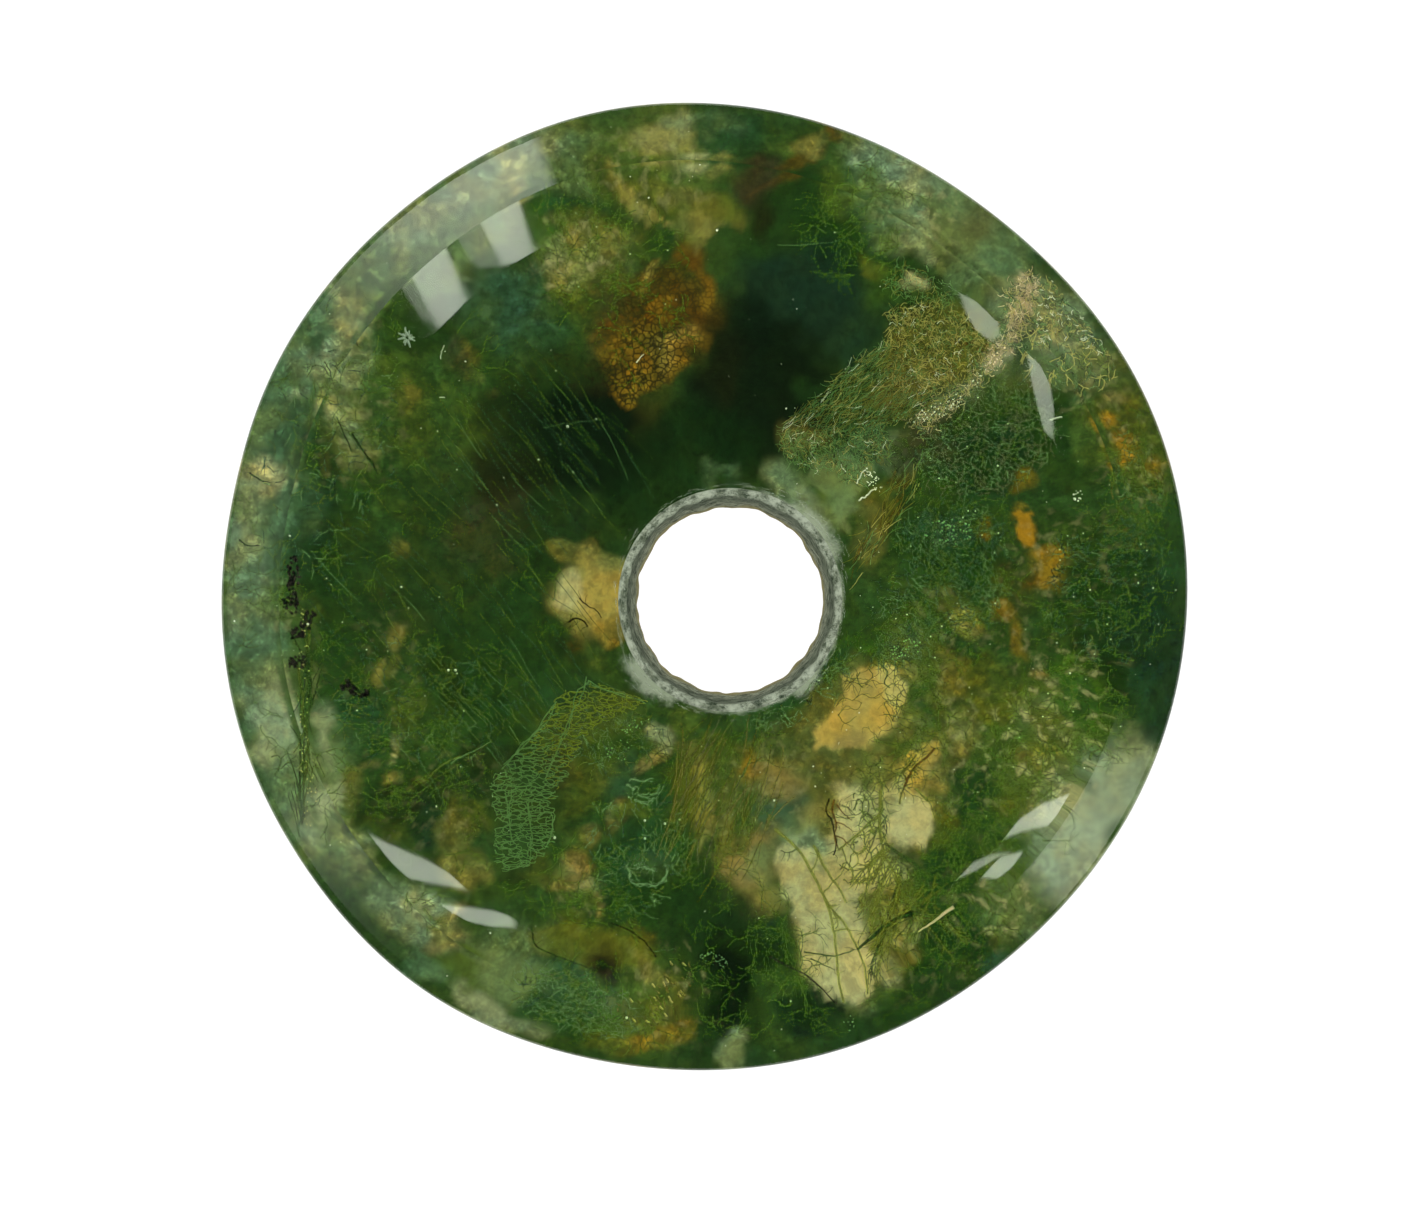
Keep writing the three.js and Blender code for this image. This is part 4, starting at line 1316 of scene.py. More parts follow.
# branches drawn over the clear windows: colour, depth in mm, half widths in pixels, line
branches = [
    ("twig", 0.9, (1.3, 1.0), [(775, 829), (797, 848), (811, 871), (823, 895), (830, 914), (834, 933),
                               (836, 955), (838, 980), (842, 998)]),
    ("twig", 0.9, (1.1, 0.9), [(823, 895), (834, 911), (846, 926), (856, 945), (863, 965), (866, 990)]),
    ("twig", 1.4, (1.3, 0.9), [(813, 845), (820, 859), (830, 876), (839, 888), (846, 902)]),
    ("moss", 0.8, (0.8, 0.6), [(804, 950), (820, 953), (834, 954), (853, 948)]),
    ("moss", 0.8, (0.7, 0.4), [(810, 957), (822, 962), (834, 968)]),
    ("twig", 0.8, (0.7, 0.7), [(829, 906), (836, 904)]),
    ("twig", 0.8, (0.7, 0.7), [(832, 918), (841, 916)]),
    ("twig", 0.8, (0.8, 0.8), [(834, 930), (842, 928), (850, 929)]),
    ("twig", 0.8, (0.7, 0.7), [(833, 912), (838, 922), (835, 928)]),
    ("twig", 1.2, (0.8, 0.4), [(811, 871), (817, 858), (818, 846)]),
    ("twig", 1.2, (0.8, 0.4), [(823, 893), (834, 880), (842, 872), (846, 862)]),
    ("moss", 0.8, (0.8, 0.4), [(797, 848), (790, 852), (780, 850)]),
    ("umber", 0.5, (1.0, 0.7), [(829, 798), (826, 810), (831, 820), (834, 832), (836, 845), (833, 855)]),
    ("rust", 0.5, (1.0, 0.6), [(834, 799), (832, 811), (836, 823), (834, 836), (838, 848)]),
    ("rust", 0.6, (0.8, 0.4), [(836, 804), (842, 812), (852, 820)]),
    ("rust", 0.6, (0.8, 0.4), [(834, 820), (842, 824), (850, 828)]),
    ("rust", 0.6, (0.8, 0.4), [(835, 835), (842, 838), (848, 844)]),
    ("twig", 0.9, (1.0, 0.7), [(838, 850), (850, 840), (862, 829), (875, 817), (884, 808)]),
    ("twig", 0.9, (1.6, 1.2), [(880, 790), (880, 806), (879, 822), (881, 840), (883, 852), (878, 868),
                               (872, 884)]),
    ("twig", 0.9, (1.2, 0.8), [(881, 852), (892, 868), (898, 884), (904, 900)]),
    ("twig", 0.9, (1.1, 0.7), [(880, 853), (866, 866), (856, 876), (850, 884)]),
    ("twig", 1.1, (0.9, 0.6), [(868, 822), (874, 834), (870, 848), (864, 860)]),
    ("twig", 1.1, (0.8, 0.5), [(842, 846), (846, 860), (852, 872)]),
    ("moss", 0.6, (1.2, 1.8), [(884, 843), (897, 852), (908, 859), (921, 868)]),
    ("deep", 0.6, (1.2, 2.6), [(857, 948), (872, 935), (886, 924), (898, 917), (912, 911)]),
    ("olive", 0.5, (0.9, 0.9), [(916, 754), (909, 764), (903, 772), (906, 781), (901, 793), (899, 804)]),
    ("rust", 0.4, (1.2, 1.0), [(934, 748), (926, 757), (916, 765), (908, 776), (904, 786)]),
    ("twig", 0.7, (0.9, 0.5), [(914, 788), (924, 796), (930, 804), (934, 818)]),
    ("twig", 0.7, (0.8, 0.5), [(916, 788), (926, 800), (934, 800), (942, 806)]),
    ("moss", 0.5, (0.8, 0.6), [(880, 664), (887, 672), (884, 682), (890, 688)]),
    ("olive", 0.5, (0.45, 0.3), [(836, 706), (842, 698), (852, 700), (862, 694), (872, 698), (882, 692)]),
    ("olive", 0.5, (0.45, 0.3), [(846, 690), (854, 682), (862, 686), (872, 680), (880, 684)]),
    ("olive", 0.5, (0.45, 0.3), [(838, 716), (846, 706), (856, 710), (862, 702)]),
    ("moss", 0.5, (0.5, 0.3), [(860, 672), (854, 680), (848, 684), (842, 692), (836, 694)]),
    ("moss", 0.5, (0.5, 0.3), [(868, 668), (872, 676), (866, 682), (860, 684)]),
    ("olive", 0.5, (0.6, 0.4), [(893, 722), (888, 712), (884, 703), (892, 700), (903, 701)]),
    ("olive", 0.4, (0.45, 0.3), [(838, 714), (843, 722), (848, 722), (856, 716)]),
    ("deep", 0.5, (0.7, 0.5), [(532, 926), (536, 944), (552, 952), (572, 960), (592, 968)]),
    ("umber", 0.4, (0.7, 0.5), [(611, 922), (630, 930), (648, 944), (656, 956)]),
    ("coal", 0.3, (0.9, 0.6), [(768, 955), (790, 966), (806, 974), (822, 988), (836, 1002)]),
    ("deep", 0.4, (0.7, 0.5), [(353, 452), (345, 432), (338, 418)]),
    ("deep", 0.4, (1.3, 0.6), [(353, 434), (362, 448), (372, 462), (378, 474)]),
    ("deep", 0.4, (1.0, 0.5), [(252, 473), (262, 480), (272, 483)]),
    ("deep", 0.4, (0.9, 0.5), [(242, 540), (250, 546), (262, 546)]),
    ("umber", 0.3, (1.0, 0.7), [(569, 622), (576, 618), (584, 621), (588, 627)]),
    ("umber", 0.3, (0.7, 0.4), [(580, 598), (588, 606), (596, 610), (602, 618)]),
]
branchTwigs = {"steps": 4, "stride": 0.1, "curl": 0.3, "rise": 0.1}
branchTwigWidths = (0.014, 0.008)
branchColours = ["moss", "twig", "rust", "olive", "umber", "coal", "deep"]


def makeBranches(rng):
    paths = []
    for colour, depth, halfWidths, outline in branches:
        line, widths = drawn(outline, depth, halfWidths, 0.012, rng)
        material = branchColours.index(colour)
        paths.append((line, widths, material))
        starts = line[rng.integers(0, len(line), len(line) // 4)]
        headings = rng.random(len(starts)) * 2 * math.pi
        twigs, _ = wander(rng, starts, headings, branchTwigs, branchTwigs["stride"])
        paths += [(twig, np.linspace(*branchTwigWidths, len(twig)), material) for twig in twigs]
    makeThreads("branches", paths, [threadMaterial(c + " branch", c, alpha=0.7) for c in branchColours])


# the feathery clump beside the cream window: root, tip, how many, spread in pixels
feathers = [
    ((886, 850), (850, 888), 3, 14), ((888, 856), (852, 906), 3, 16), ((896, 862), (860, 932), 4, 18),
    ((906, 872), (868, 950), 4, 18), ((922, 884), (872, 952), 4, 16), ((942, 878), (898, 934), 5, 22),
    ((880, 812), (868, 850), 3, 12), ((905, 900), (950, 930), 6, 22), ((884, 930), (870, 976), 5, 14),
]
featherHabit = {"depths": (0.3, 2.6), "darkShare": 0.35, "halfWidths": (0.7, 0.4), "shake": 0.02}
featherTwigs = {"each": 6, "along": (0.1, 0.95), "lengths": (5, 13), "angles": (0.45, 0.9),
                "bend": 0.8, "halfWidths": (0.5, 0.3)}


def makeFeathers(rng):
    paths = []
    for root, tip, count, spread in feathers:
        for _ in range(count):
            sway = rng.normal(0, spread / 2.4, 6)
            a = np.array(root) + sway[:2] * 0.6
            b = np.array(tip) + sway[2:4]
            middle = (a + b) / 2 + sway[4:] * 0.4
            depth = rng.uniform(*featherHabit["depths"])
            material = int(rng.random() < featherHabit["darkShare"])
            line, widths = drawn([a, middle, b], depth, featherHabit["halfWidths"],
                                 featherHabit["shake"], rng)
            paths.append((line, widths, material))
            heading = math.atan2(b[1] - a[1], b[0] - a[0])
            for part in rng.uniform(*featherTwigs["along"], featherTwigs["each"]):
                start = (1 - part) ** 2 * a + 2 * part * (1 - part) * middle + part ** 2 * b
                turned = heading + rng.choice((-1, 1)) * rng.uniform(*featherTwigs["angles"])
                end = start + np.array((math.cos(turned), math.sin(turned))) * rng.uniform(
                    *featherTwigs["lengths"])
                bend = (start + end) / 2 + rng.normal(0, featherTwigs["bend"], 2)
                twig, twigWidths = drawn([start, bend, end], depth, featherTwigs["halfWidths"], parts=2)
                paths.append((twig, twigWidths, material))
    paths = [p for p in paths if insideStone(p[0]).all()]
    makeThreads("feathers", paths, [threadMaterial("feather", "twig", alpha=0.65),
                                    threadMaterial("dark feather", "moss", alpha=0.65)])


# nets of threads under the polish, left over from cells of uneven size. Layers: depth in mm, size
# of a cell. Beyond the seam (a place, and how fast it fades across and down) they turn olive
nets = {
    "laceNet": {
        "outline": [(590, 679), (606, 686), (621, 690), (650, 701), (632, 712), (616, 719), (600, 725),
                    (588, 736), (575, 762), (565, 785), (556, 802), (556, 822), (557, 840), (545, 856),
                    (525, 868), (500, 872), (493, 858), (495, 824), (488, 785), (504, 766), (518, 747),
                    (543, 721), (552, 704), (562, 690), (578, 692)],
        "layers": [(0.15, (12, 5.2)), (0.4, (15, 6)), (0.8, (13, 5))],
        "missing": 0.24,
        "halfWidth": (0.5, 0.32),
        "seam": (545, 760, 50, 80),
        "colours": ("fern", "twig"),
        "ribs": [[(556, 702), (543, 724), (522, 746), (506, 766)],
                 [(590, 679), (578, 694), (574, 712), (566, 730), (556, 752), (546, 776)],
                 [(528, 800), (531, 818), (532, 836), (528, 856)], [(553, 815), (552, 830), (546, 848)],
                 [(590, 682), (606, 690), (626, 697), (646, 702)], [(512, 790), (508, 812), (510, 840)]],
    },
    "featherNet": {
        "outline": [(846, 794), (872, 790), (886, 800), (884, 836), (896, 856), (912, 872), (918, 892),
                    (904, 920), (888, 944), (874, 962), (868, 930), (862, 904), (846, 890), (838, 866),
                    (846, 844), (862, 824), (848, 812)],
        "layers": [(0.5, (11, 17)), (1.4, (9, 14))],
        "missing": 0.34,
        "halfWidth": (0.8, 0.5),
        "seam": (880, 880, 40, 40),
        "colours": ("twig", "leaf"),
        "ribs": [[(880, 850), (872, 868), (868, 890), (858, 912)],
                 [(881, 852), (884, 874), (878, 900), (868, 930)],
                 [(882, 850), (896, 872), (894, 900), (880, 934)], [(878, 866), (862, 880), (850, 882)]],
    },
}


netShake = {"cells": 0.45, "bends": 1, "depth": 0.04, "seam": 0.4, "ribs": 1.5, "ribPoints": 0.02}
ribHalfWidths = (0.6, 0.35)


def makeNets(rng):
    shake = netShake
    for name, net in nets.items():
        paths = []
        left, top = np.min(net["outline"], axis=0)
        right, bottom = np.max(net["outline"], axis=0)
        for depth, (wide, high) in net["layers"]:
            # cell middles on a shaken grid, joined into triangles. The net joins the triangles' middles
            middles = [Vector((left / wide + i + rng.uniform(-shake["cells"], shake["cells"]),
                               top / high + j + rng.uniform(-shake["cells"], shake["cells"])))
                       for i in range(-1, int((right - left) / wide) + 2)
                       for j in range(-1, int((bottom - top) / high) + 2)]
            found = geometry.delaunay_2d_cdt(middles, [], [], 0, 1e-5)
            sharedBy = {}
            for face in found[2]:
                centre = sum((found[0][i] for i in face), Vector((0, 0))) / 3
                for a, b in zip(face, (*face[1:], face[0])):
                    side = sharedBy.setdefault((min(a, b), max(a, b)), [])
                    side.append((centre.x * wide, centre.y * high))
            links = [ends for ends in sharedBy.values() if len(ends) == 2 and rng.random() > net["missing"]]
            places = np.array([(across(x), upwards(y)) for ends in links for x, y in ends])
            inside = insideOutline(places, net["outline"], 2).reshape(-1, 2).min(1) > 0.5
            for ((x, y), last), within in zip(links, inside):
                if not within:
                    continue
                bend = ((x + last[0]) / 2 + rng.normal(0, shake["bends"]),
                        (y + last[1]) / 2 + rng.normal(0, shake["bends"]))
                line, widths = drawn([(x, y), bend, last], depth + rng.normal(0, shake["depth"]),
                                     net["halfWidth"], parts=2)
                seamX, seamY, fadeX, fadeY = net["seam"]
                beyond = (x - seamX) / fadeX - (y - seamY) / fadeY + rng.normal(0, shake["seam"]) > 0.3
                paths.append((line, widths, int(beyond)))
        for rib in net["ribs"]:
            for _ in range(2):
                shaken = np.array(rib) + rng.normal(0, shake["ribs"], (len(rib), 2))
                line, widths = drawn(shaken, net["layers"][0][0], ribHalfWidths, shake["ribPoints"], rng)
                paths.append((line, widths, 0))
        pale, olive = net["colours"]
        makeThreads(name, paths, [threadMaterial(name + ", " + pale, pale, alpha=0.7),
                                  threadMaterial(name + ", " + olive, olive, alpha=0.75)])


# the pale vein that runs in from the upper right: fibres along it, and the crumbs among the grains
vein = {
    "line": [(1029, 276), (1023, 296), (1016, 318), (1008, 338), (996, 356), (982, 372), (968, 388),
             (956, 402), (936, 412), (918, 424)],
    "halfWidths": [7, 13, 13, 7, 12, 8, 8, 7, 10, 9],
    "density": [0.8, 1.0, 0.9, 0.35, 0.8, 0.35, 0.5, 0.3, 0.6, 0.5],
    "fibres": 760,
    "spread": 0.6,
    "heights": (-0.4, 0.05),  # mm from the line
    "turn": 0.6,
    "margin": 0.05,
    "widths": (0.018, 0.008),
    "colours": {"peach": 0.16, "clay": 0.34, "hay": 0.2, "fern": 0.3},
}
veinHabit = {"steps": 4, "stride": 0.07, "curl": 0.5, "rise": 0.08}


def makeVein(rng):
    spine, _ = drawn(vein["line"], 0.3, (1, 1), parts=12)
    dense = np.interp(np.linspace(0, 1, len(spine) - 1), np.linspace(0, 1, len(vein["density"])),
                      vein["density"])
    at = rng.choice(len(spine) - 1, vein["fibres"], p=dense / dense.sum())
    halfWidths = np.interp(at / len(spine), np.linspace(0, 1, len(vein["halfWidths"])), vein["halfWidths"])
    starts = spine[at].copy()
    aside = rng.normal(0, vein["spread"], (len(at), 2))
    starts[:, :2] += aside * halfWidths[:, None] / photo["pixelsPerMm"]
    starts[:, 2] += rng.uniform(*vein["heights"], len(at))
    along = spine[at + 1] - spine[at]
    headings = np.arctan2(along[:, 1], along[:, 0]) + rng.normal(0, vein["turn"], len(at))
    lines, _ = wander(rng, starts, headings, veinHabit, veinHabit["stride"])
    colours = vein["colours"]
    chosen = rng.choice(len(colours), len(at), p=tuple(colours.values()))
    paths = [(line, np.linspace(*vein["widths"], len(line)), int(colour))
             for line, colour in zip(lines, chosen) if insideStone(line, vein["margin"]).all()]
    makeThreads("paleVein", paths, [threadMaterial(c + " vein", c, alpha=0.6) for c in colours])


# fine streaks in the ground stone round the mouth of the hole
mouthStreaks = {"count": 170, "steps": 5, "halfWidths": (0.012, 0.008), "gap": 0.05, "reach": 0.6,
                "spread": 0.6, "sweep": 0.12, "shake": 0.02, "depths": (0.05, 0.3), "greyShare": 0.4}


def makeMouthStreaks(rng):
    s = mouthStreaks
    count, steps = s["count"], s["steps"]
    directions = rng.random(count) * 360
    reach = np.zeros(count)
    for direction, width, height, strength in mouthWear:
        away = (directions - direction + 180) % 360 - 180
        reach = np.maximum(reach, height * strength * np.exp(-((away / width) ** 2)))
    out = donut["mouthRadius"] + s["gap"] + s["reach"] * reach * np.abs(rng.normal(0, s["spread"], count))
    turning = np.radians(directions)[:, None] + np.linspace(0, s["sweep"], steps) * rng.random((count, 1))
    radius = out[:, None] + rng.normal(0, s["shake"], (count, steps))
    depth = rng.uniform(*s["depths"], (count, 1)) + np.zeros((1, steps))
    centre = donut["holeCentre"]
    lines = np.stack([centre[0] + radius * np.cos(turning), centre[1] + radius * np.sin(turning),
                      donut["thickness"] - depth], axis=2)
    widths = np.linspace(*s["halfWidths"], steps)
    paths = [(line, widths, int(rng.random() < s["greyShare"])) for line in lines]
    makeThreads("mouthStreaks", paths, [threadMaterial("pale streak", "frost", alpha=0.3),
                                        threadMaterial("grey streak", "steel", alpha=0.25)])


# grains and specks: colour, middle x, middle y, half length, half width, turn, count, size in pixels
grains = [
    ("coal", 295, 580, 6, 22, 0, 46, 2.2), ("coal", 292, 606, 8, 9, 20, 26, 2.0),
    ("coal", 309, 621, 6, 11, -30, 26, 2.2), ("coal", 297, 634, 8, 5, 0, 20, 2.2),
    ("coal", 299, 662, 10, 6, 10, 30, 2.1), ("coal", 348, 686, 8, 5, -40, 18, 2.2),
    ("coal", 362, 693, 8, 4, -10, 16, 2.2), ("hay", 305, 700, 5, 90, 0, 60, 0.55),
    ("hay", 312, 800, 7, 26, 0, 24, 0.55), ("peach", 1024, 298, 24, 10, 72, 30, 0.8),
    ("ash", 1021, 302, 30, 13, 72, 30, 0.6), ("peach", 1000, 350, 22, 8, 50, 26, 0.8),
    ("ash", 994, 356, 24, 10, 50, 30, 0.6), ("ash", 966, 390, 26, 6, 50, 24, 0.6),
    ("ash", 938, 410, 28, 8, 31, 50, 0.65), ("ash", 1056, 306, 24, 26, 0, 150, 0.75),
    # the coal grains at 1029, 332 are dark grains standing in for the painted shadow beside the vein
    ("hay", 1072, 330, 50, 26, -42, 120, 0.8), ("coal", 1029, 332, 3, 4, 0, 10, 1.2),
    ("mint", 850, 435, 60, 6, 20, 70, 0.7), ("ash", 872, 480, 6, 14, 30, 40, 0.7),
    ("mint", 714, 958, 14, 6, -20, 40, 0.55), ("mint", 620, 750, 14, 10, 20, 16, 0.6),
    ("mint", 632, 726, 12, 5, 20, 20, 0.6), ("mint", 948, 532, 24, 12, 0, 60, 0.8),
    ("ash", 1077, 496, 5, 5, 0, 14, 1.0), ("ash", 1076, 374, 5, 5, 0, 16, 1.0),
    ("ash", 1108, 345, 7, 6, 0, 20, 1.0), ("mint", 905, 650, 16, 9, 30, 44, 0.6),
    ("mint", 848, 1022, 8, 8, 0, 22, 0.8), ("ash", 408, 972, 14, 5, -30, 20, 0.8),
    ("ash", 704, 586, 440, 440, 0, 260, 0.42), ("ash", 950, 600, 200, 200, 0, 120, 0.45),
]
singleSpecks = [
    (555, 837, 2.2), (997, 466, 1.6), (1137, 583, 1.2), (1089, 590, 1.2), (1152, 588, 1.0),
    (1069, 673, 1.2), (1149, 664, 1.0), (236, 621, 1.8), (291, 536, 1.4), (309, 624, 1.6),
    (466, 362, 1.1), (568, 427, 1.6), (539, 460, 1.2), (402, 587, 1.4), (645, 820, 1.6),
    (665, 823, 1.3), (645, 838, 1.3), (491, 932, 1.5), (813, 766, 1.2), (815, 786, 1.2),
    (774, 800, 1.4), (786, 409, 1.4), (717, 231, 1.8), (649, 199, 1.2), (437, 806, 1.3),
    (456, 670, 1.7), (449, 670, 1.4), (440, 597, 1.2), (627, 1016, 2.0), (1175, 590, 1.2),
]
grainColours = ["coal", "hay", "ash", "peach", "mint"]


# sizes and depths are in grain radii, gaps in mm
grainHabit = {"sizes": (0.5, 1.3), "speckSize": 0.7, "gap": 0.06, "depths": (1.0, 2.5), "margin": 0.08,
              "shapes": (0.6, 1.3)}


def makeGrains(rng):
    habit = grainHabit
    placed = [("ash", (across(x), upwards(y)), size * habit["speckSize"]) for x, y, size in singleSpecks]
    for colour, x, y, halfLength, halfWidth, turn, count, size in grains:
        places = scatter(rng, (x, y, halfLength, halfWidth, turn), count)
        placed += [(colour, place, size * rng.uniform(*habit["sizes"])) for place in places]
    for colour in grainColours:
        bm = bmesh.new()
        for _, place, size in [p for p in placed if p[0] == colour]:
            radius = size / photo["pixelsPerMm"]
            top = topAt(math.hypot(*place))
            centre = np.array((*place, top - habit["gap"] - radius * rng.uniform(*habit["depths"])))
            if not insideStone(centre, habit["margin"]):
                continue
            turned = Matrix.Rotation(rng.random() * math.pi, 4, Vector(rng.normal(0, 1, 3)))
            shaped = Matrix.Diagonal((*rng.uniform(*habit["shapes"], 3), 1))
            bmesh.ops.create_icosphere(bm, subdivisions=1, radius=radius * mm,
                                       matrix=Matrix.Translation(Vector(centre) * mm) @ turned @ shaped)
        piece = addMesh(colour + "Grains", bm)
        keepPiece(piece, threadMaterial(colour + " grain", colour, alpha=0.85))
        print(colour, "grains:", len(piece.data.polygons), "faces")


# chips, scratches and hairlines at the polish: colour, depth in mm, half widths in pixels, line
marks = [
    ("peach", 0.1, (0.5, 2.6), [(918, 930), (929, 923), (941, 915), (953, 906)]),
    ("ash", 0.1, (0.9, 0.9), [(1049, 421), (1055, 419), (1061, 418)]),
    ("ash", 0.1, (0.8, 0.4), [(636, 363), (640, 359), (644, 355)]),
    ("fern", 0.1, (0.5, 0.4), [(653, 950), (664, 949), (676, 949)]),
    ("fern", 0.1, (0.4, 0.3), [(600, 680), (614, 688), (628, 695), (640, 700)]),
    ("fern", 0.2, (0.5, 0.3), [(545, 428), (560, 425), (580, 423), (602, 420)]),
    ("fern", 0.2, (0.5, 0.3), [(775, 246), (796, 246), (816, 245), (840, 243)]),
    ("ash", 0.1, (0.5, 0.4), [(440, 398), (446, 398)]),
    ("ash", 0.1, (0.6, 0.4), [(441, 360), (443, 352), (445, 346)]),
    ("ash", 0.1, (1.2, 0.8), [(858, 500), (866, 496), (872, 490), (876, 488)]),
    ("ash", 0.1, (0.9, 0.6), [(856, 484), (860, 476), (866, 470)]),
    ("leaf", 0.3, (1.6, 1.0), [(430, 776), (444, 764), (458, 757), (474, 751), (488, 744)]),
    ("fern", 0.25, (0.9, 0.6), [(452, 762), (466, 754), (480, 748), (492, 741)]),
    ("leaf", 0.35, (1.0, 0.7), [(436, 778), (450, 770), (462, 762)]),
]
crumbRings = [
    [(626, 784), (631, 788), (636, 786), (634, 792)],
    [(638, 793), (645, 796), (653, 795), (660, 790), (661, 783)],
    [(636, 799), (643, 803), (650, 802), (654, 798)], [(629, 780), (636, 778), (645, 780), (654, 779)],
    [(627, 866), (632, 872), (630, 878), (637, 883)], [(637, 884), (647, 885), (657, 884), (664, 879)],
    [(664, 880), (667, 872), (664, 865)], [(633, 868), (641, 866), (650, 867), (657, 870)],
]
crumbLook = {"lines": 3, "shake": 1.3, "depth": 0.15, "halfWidths": (0.45, 0.3), "colour": "mint"}
starChip = {"x": 408, "y": 338, "rays": 11, "reach": 9.5, "stops": (0.25, 0.6, 1), "halfWidths": (1.5, 0.6),
            "colour": "steel"}
markThinning = 0.75
markColours = ["ash", "fern", "steel", "leaf", "peach", "mint"]


def makeMarks(rng):
    paths = []
    for colour, depth, halfWidths, outline in marks:
        line, widths = drawn(outline, depth, halfWidths, 0.02, rng)
        paths.append((line, widths * markThinning, markColours.index(colour)))
    for outline in crumbRings:
        for _ in range(crumbLook["lines"]):
            shaken = np.array(outline) + rng.normal(0, crumbLook["shake"], (len(outline), 2))
            line, widths = drawn(shaken, crumbLook["depth"], crumbLook["halfWidths"], 0.03, rng)
            paths.append((line, widths, markColours.index(crumbLook["colour"])))
    star = starChip
    for ray in range(star["rays"]):
        direction = 2 * math.pi * (ray + rng.uniform(-0.3, 0.3)) / star["rays"]
        reach = star["reach"] * rng.uniform(0.6, 1.1)
        steps = [(star["x"] + math.cos(direction) * reach * t, star["y"] + math.sin(direction) * reach * t)
                 for t in star["stops"]]
        line, widths = drawn(steps, 0.1, star["halfWidths"], 0.01, rng)
        paths.append((line, widths, markColours.index(star["colour"])))
    makeThreads("surfaceMarks", paths, [threadMaterial(c + " mark", c, alpha=0.6) for c in markColours])


# paper on a light table
paper = {"halfSize": 1.5, "grey": (0.1, 0.1, 0.1, 1), "light": (1, 1, 1, 1), "level": 1.0, "gap": 0.0001}


def makeFloor():
    bm = bmesh.new()
    bmesh.ops.create_grid(bm, x_segments=2, y_segments=2, size=paper["halfSize"])
    floor = addMesh("floor", bm)
    material, _, _ = newMaterial("lit paper", {
        "Base Color": paper["grey"], "Roughness": 0.9, "Emission Color": paper["light"],
        "Emission Strength": paper["level"]})
    material.cycles.emission_sampling = "NONE"
    floor.data.materials.append(material)
    floor.location.z = -paper["gap"]


# windows and pale walls of the room, hung so that the polish shows them where the photo does.
# Outlines in the photo's pixels, and how bright each one is
windows = [
    {"name": "wall upper left", "level": 3.7, "band": (109.8, 147), "soft": (0, 0.65)},
    {"name": "wall left", "level": 0.3, "band": (150, 205), "soft": (0.3, 0.5)},
    {"name": "wall low left", "level": 0.8, "band": (205, 232), "soft": (0.15, 0.6)},
    {"name": "wall low right", "level": 1.6, "band": (316.5, 343), "soft": (0.1, 0.55)},
    {"name": "window left", "level": 7.5,
     "outline": [(408, 268), (444, 242), (457, 275), (467, 300), (452, 317), (440, 328), (424, 301)]},
    {"name": "window left frame", "level": 2.6,
     "outline": [(398, 282), (408, 268), (424, 301), (440, 328), (422, 318)]},
    {"name": "window middle", "level": 2.4,
     "outline": [(456, 235), (479, 220), (490, 246), (502, 265), (480, 268), (472, 262)]},
    {"name": "window top", "level": 7.5,
     "outline": [(479, 220), (518, 197), (527, 228), (534, 252), (517, 262), (503, 266), (492, 246)]},
    {"name": "window far", "level": 5,
     "outline": [(959, 293), (974, 300), (997, 322), (998, 335), (990, 340), (976, 331), (967, 316)]},
    {"name": "window right", "level": 5,
     "outline": [(1027, 353), (1040, 366), (1049, 384), (1053, 408), (1052, 437), (1044, 432),
                 (1037, 407), (1030, 378)]},
    {"name": "window low left", "level": 6.5,
     "outline": [(371, 835), (400, 848), (430, 861), (452, 874), (467, 889), (440, 884), (410, 878),
                 (392, 862)]},
    {"name": "window lowest", "level": 6.5,
     "outline": [(441, 904), (463, 906), (490, 909), (508, 914), (515, 920), (513, 926), (490, 925),
                 (468, 920), (455, 913)]},
    {"name": "window low right", "level": 7,
     "outline": [(1068, 794), (1060, 812), (1049, 824), (1024, 830), (1004, 837), (1018, 819),
                 (1042, 803)]},
    {"name": "window low right pane", "level": 7,
     "outline": [(1022, 851), (1012, 866), (996, 878), (982, 876), (990, 866), (1000, 856)]},
    {"name": "window low right sliver", "level": 5,
     "outline": [(1010, 851), (996, 857), (978, 868), (958, 877), (972, 862), (990, 854)]},
]
roomSize = 350  # mm from the stone to its windows
windowTint = (0.95, 1.0, 0.88, 1)
windowSteps = {"along": 25, "across": 4, "side": 4}


def slopeAt(radius, onBevel):
    # how far the polish has turned down, on the shoulder inside the ridge or on the bevel outside it
    d = donut
    if onBevel:
        low, high = d["ridgeSlopes"][1], d["bevelSlope"]
        inner, outer = d["ridge"], d["bevelEnd"]
    else:
        low, high = 0, d["ridgeSlopes"][0]
        inner, outer = d["flatEdge"], d["ridge"]
    low, high = math.sin(math.radians(low)), math.sin(math.radians(high))
    part = min(max((radius - inner) / (outer - inner), 0), 1.15)
    return math.asin(low + part * (high - low))


def mirrored(x, y, onBevel):
    # the place in the room that one spot of the polish shows, given in millimetres
    spot = np.array((x, y, 0.0))
    radius = float(beforeGrinding(spot))
    step = 0.01
    uphill = [(radius - float(beforeGrinding(spot + move))) / step for move in np.eye(3)[:2] * step]
    slope = math.tan(slopeAt(radius, onBevel))
    normal = Vector((-uphill[0] * slope, -uphill[1] * slope, 1)).normalized()
    spot = Vector((x, y, float(topAt(radius))))
    toEye = (bpy.context.scene.camera.location / mm - spot).normalized()
    return spot + (normal * (2 * normal.dot(toEye)) - toEye) * roomSize


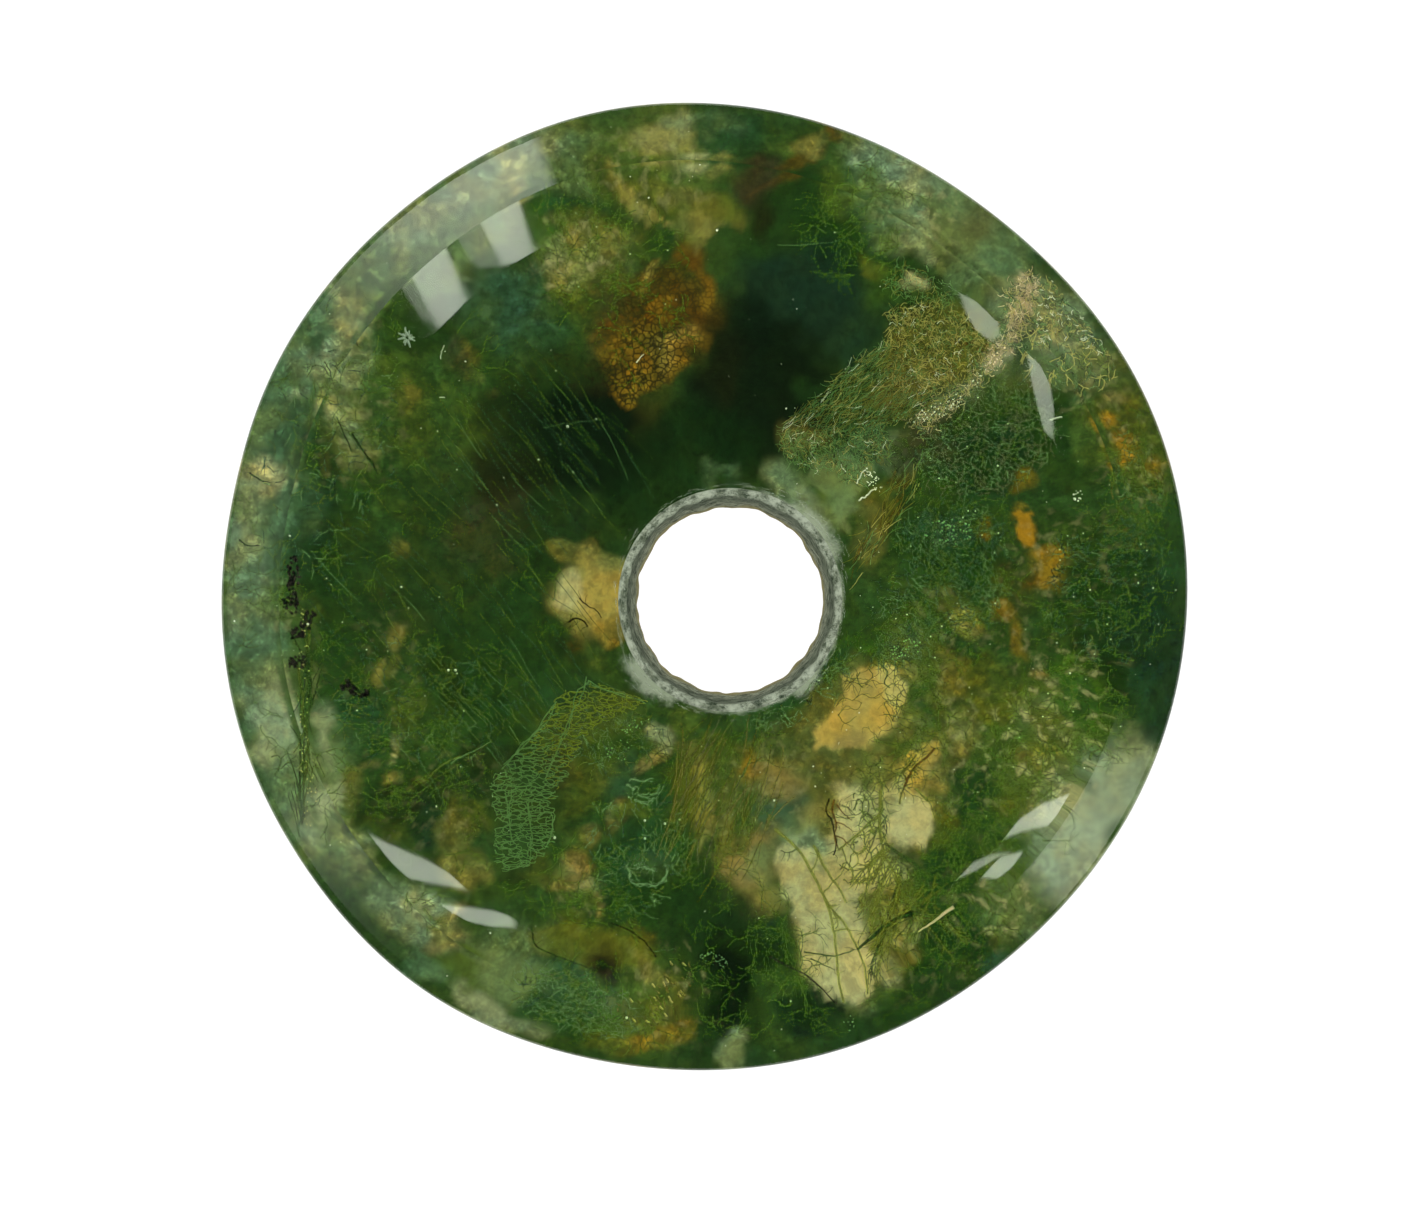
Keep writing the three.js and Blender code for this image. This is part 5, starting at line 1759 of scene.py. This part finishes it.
def hangWindow(name, level, outline=None, band=None, soft=(0, 0)):
    bm = bmesh.new()
    lit = bm.verts.layers.float_color.new("lit")
    if band:
        # a stretch of the bevelled edge between two directions, fading towards its ends
        along = np.linspace(0, 1, windowSteps["along"])
        rows = []
        for radius in np.linspace(donut["ridge"] + 0.02, donut["bevelEnd"], windowSteps["across"]):
            row = []
            for part in along:
                direction = math.radians(band[0] + (band[1] - band[0]) * part)
                corner = bm.verts.new(mirrored(radius * math.cos(direction), radius * math.sin(direction),
                                               True) * mm)
                fade = min(part / max(soft[0], 0.01), (1 - part) / max(soft[1], 0.01), 1)
                corner[lit] = (fade, fade, fade, 1)
                row.append(corner)
            rows.append(row)
        for low, high in zip(rows, rows[1:]):
            for i in range(len(along) - 1):
                bm.faces.new((low[i], low[i + 1], high[i + 1], high[i]))
    else:
        corners = []
        for i, (x, y) in enumerate(outline):
            nextX, nextY = outline[(i + 1) % len(outline)]
            for part in np.linspace(0, 1, windowSteps["side"], endpoint=False):
                corner = bm.verts.new(mirrored(across(x + (nextX - x) * part),
                                               upwards(y + (nextY - y) * part), False) * mm)
                corner[lit] = (1, 1, 1, 1)
                corners.append(corner)
        bmesh.ops.triangulate(bm, faces=[bm.faces.new(corners)])
    window = addMesh(name, bm)
    material, tree, shader = newMaterial(name, {"Base Color": (0, 0, 0, 1), "Emission Strength": level})
    shown = addNode(tree, "VertexColor", layer_name="lit")
    tinted = mixColour(tree, "MULTIPLY", 1.0, shown.outputs["Color"], windowTint)
    tree.links.new(tinted, shader.inputs["Emission Color"])
    material.cycles.emission_sampling = "NONE"
    window.data.materials.append(material)
    # only mirror images of it are seen
    window.visible_camera = False
    window.visible_diffuse = False
    window.visible_transmission = False
    window.visible_shadow = False


# how bright the room is: mirrored in the polish, and seen through the stone. Rises are sines of the
# angle above the horizon
room = {
    "mirrored": (0.03, 0.012),  # near the horizon and overhead
    "mirroredRise": (0.1, 0.52),
    "through": (0.7, 0.12),
    "throughRise": (0.45, 0.85),
    "outside": 1.6,
    "inside": 5.0,
    "backdrop": 1.0,
}


def makeRoom():
    world = bpy.data.worlds.new("room")
    bpy.context.scene.world = world
    world.use_nodes = True
    tree = world.node_tree
    background = tree.nodes["Background"]
    coords = addNode(tree, "TexCoord")
    split = addNode(tree, "SeparateXYZ", {0: coords.outputs["Generated"]})
    shown = mapRange(tree, split.outputs["Z"], *room["mirroredRise"], *room["mirrored"])
    beyond = mapRange(tree, split.outputs["Z"], *room["throughRise"], *room["through"])
    # the polish shows a dim room, but the threads inside are lit by a soft light from above
    path = addNode(tree, "LightPath")
    through = combine(tree, "GREATER_THAN", path.outputs["Transmission Depth"], 0.5)
    lit = combine(tree, "GREATER_THAN", path.outputs["Diffuse Depth"], 0.5)
    litLevel = addNode(tree, "Mix", {"Factor": through, "A": room["outside"], "B": room["inside"]})
    level = addNode(tree, "Mix", {"Factor": through, "A": shown, "B": beyond})
    level = addNode(tree, "Mix", {"Factor": lit, "A": level.outputs[0], "B": litLevel.outputs[0]})
    level = addNode(tree, "Mix", {"Factor": path.outputs["Is Camera Ray"], "A": level.outputs[0],
                                  "B": room["backdrop"]})
    background.inputs["Color"].default_value = (1, 1, 1, 1)
    tree.links.new(level.outputs[0], background.inputs["Strength"])
    world.cycles.sampling_method = "NONE"


def setLook():
    scene = bpy.context.scene
    scene.view_settings.view_transform = "Standard"
    scene.cycles.use_denoising = True
    scene.cycles.max_bounces = 16
    scene.cycles.transmission_bounces = 16
    scene.cycles.diffuse_bounces = 3
    scene.cycles.glossy_bounces = 4
    scene.cycles.transparent_max_bounces = 48


makeCamera()
makeFloor()
makeRoom()
for window in windows:
    hangWindow(**window)
setLook()
print("camera, floor, room and", len(windows), "windows")

stone = makeStone()
keepPiece(stone, agateMaterial(), groundMaterial())
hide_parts("donut")

rng = np.random.default_rng(5)
for makeKind in (makeMoss, makeMat, makeFineFibres, makeBranches, makeFeathers, makeNets, makeVein,
                 makeGrains, makeMarks, makeMouthStreaks):
    makeKind(rng)
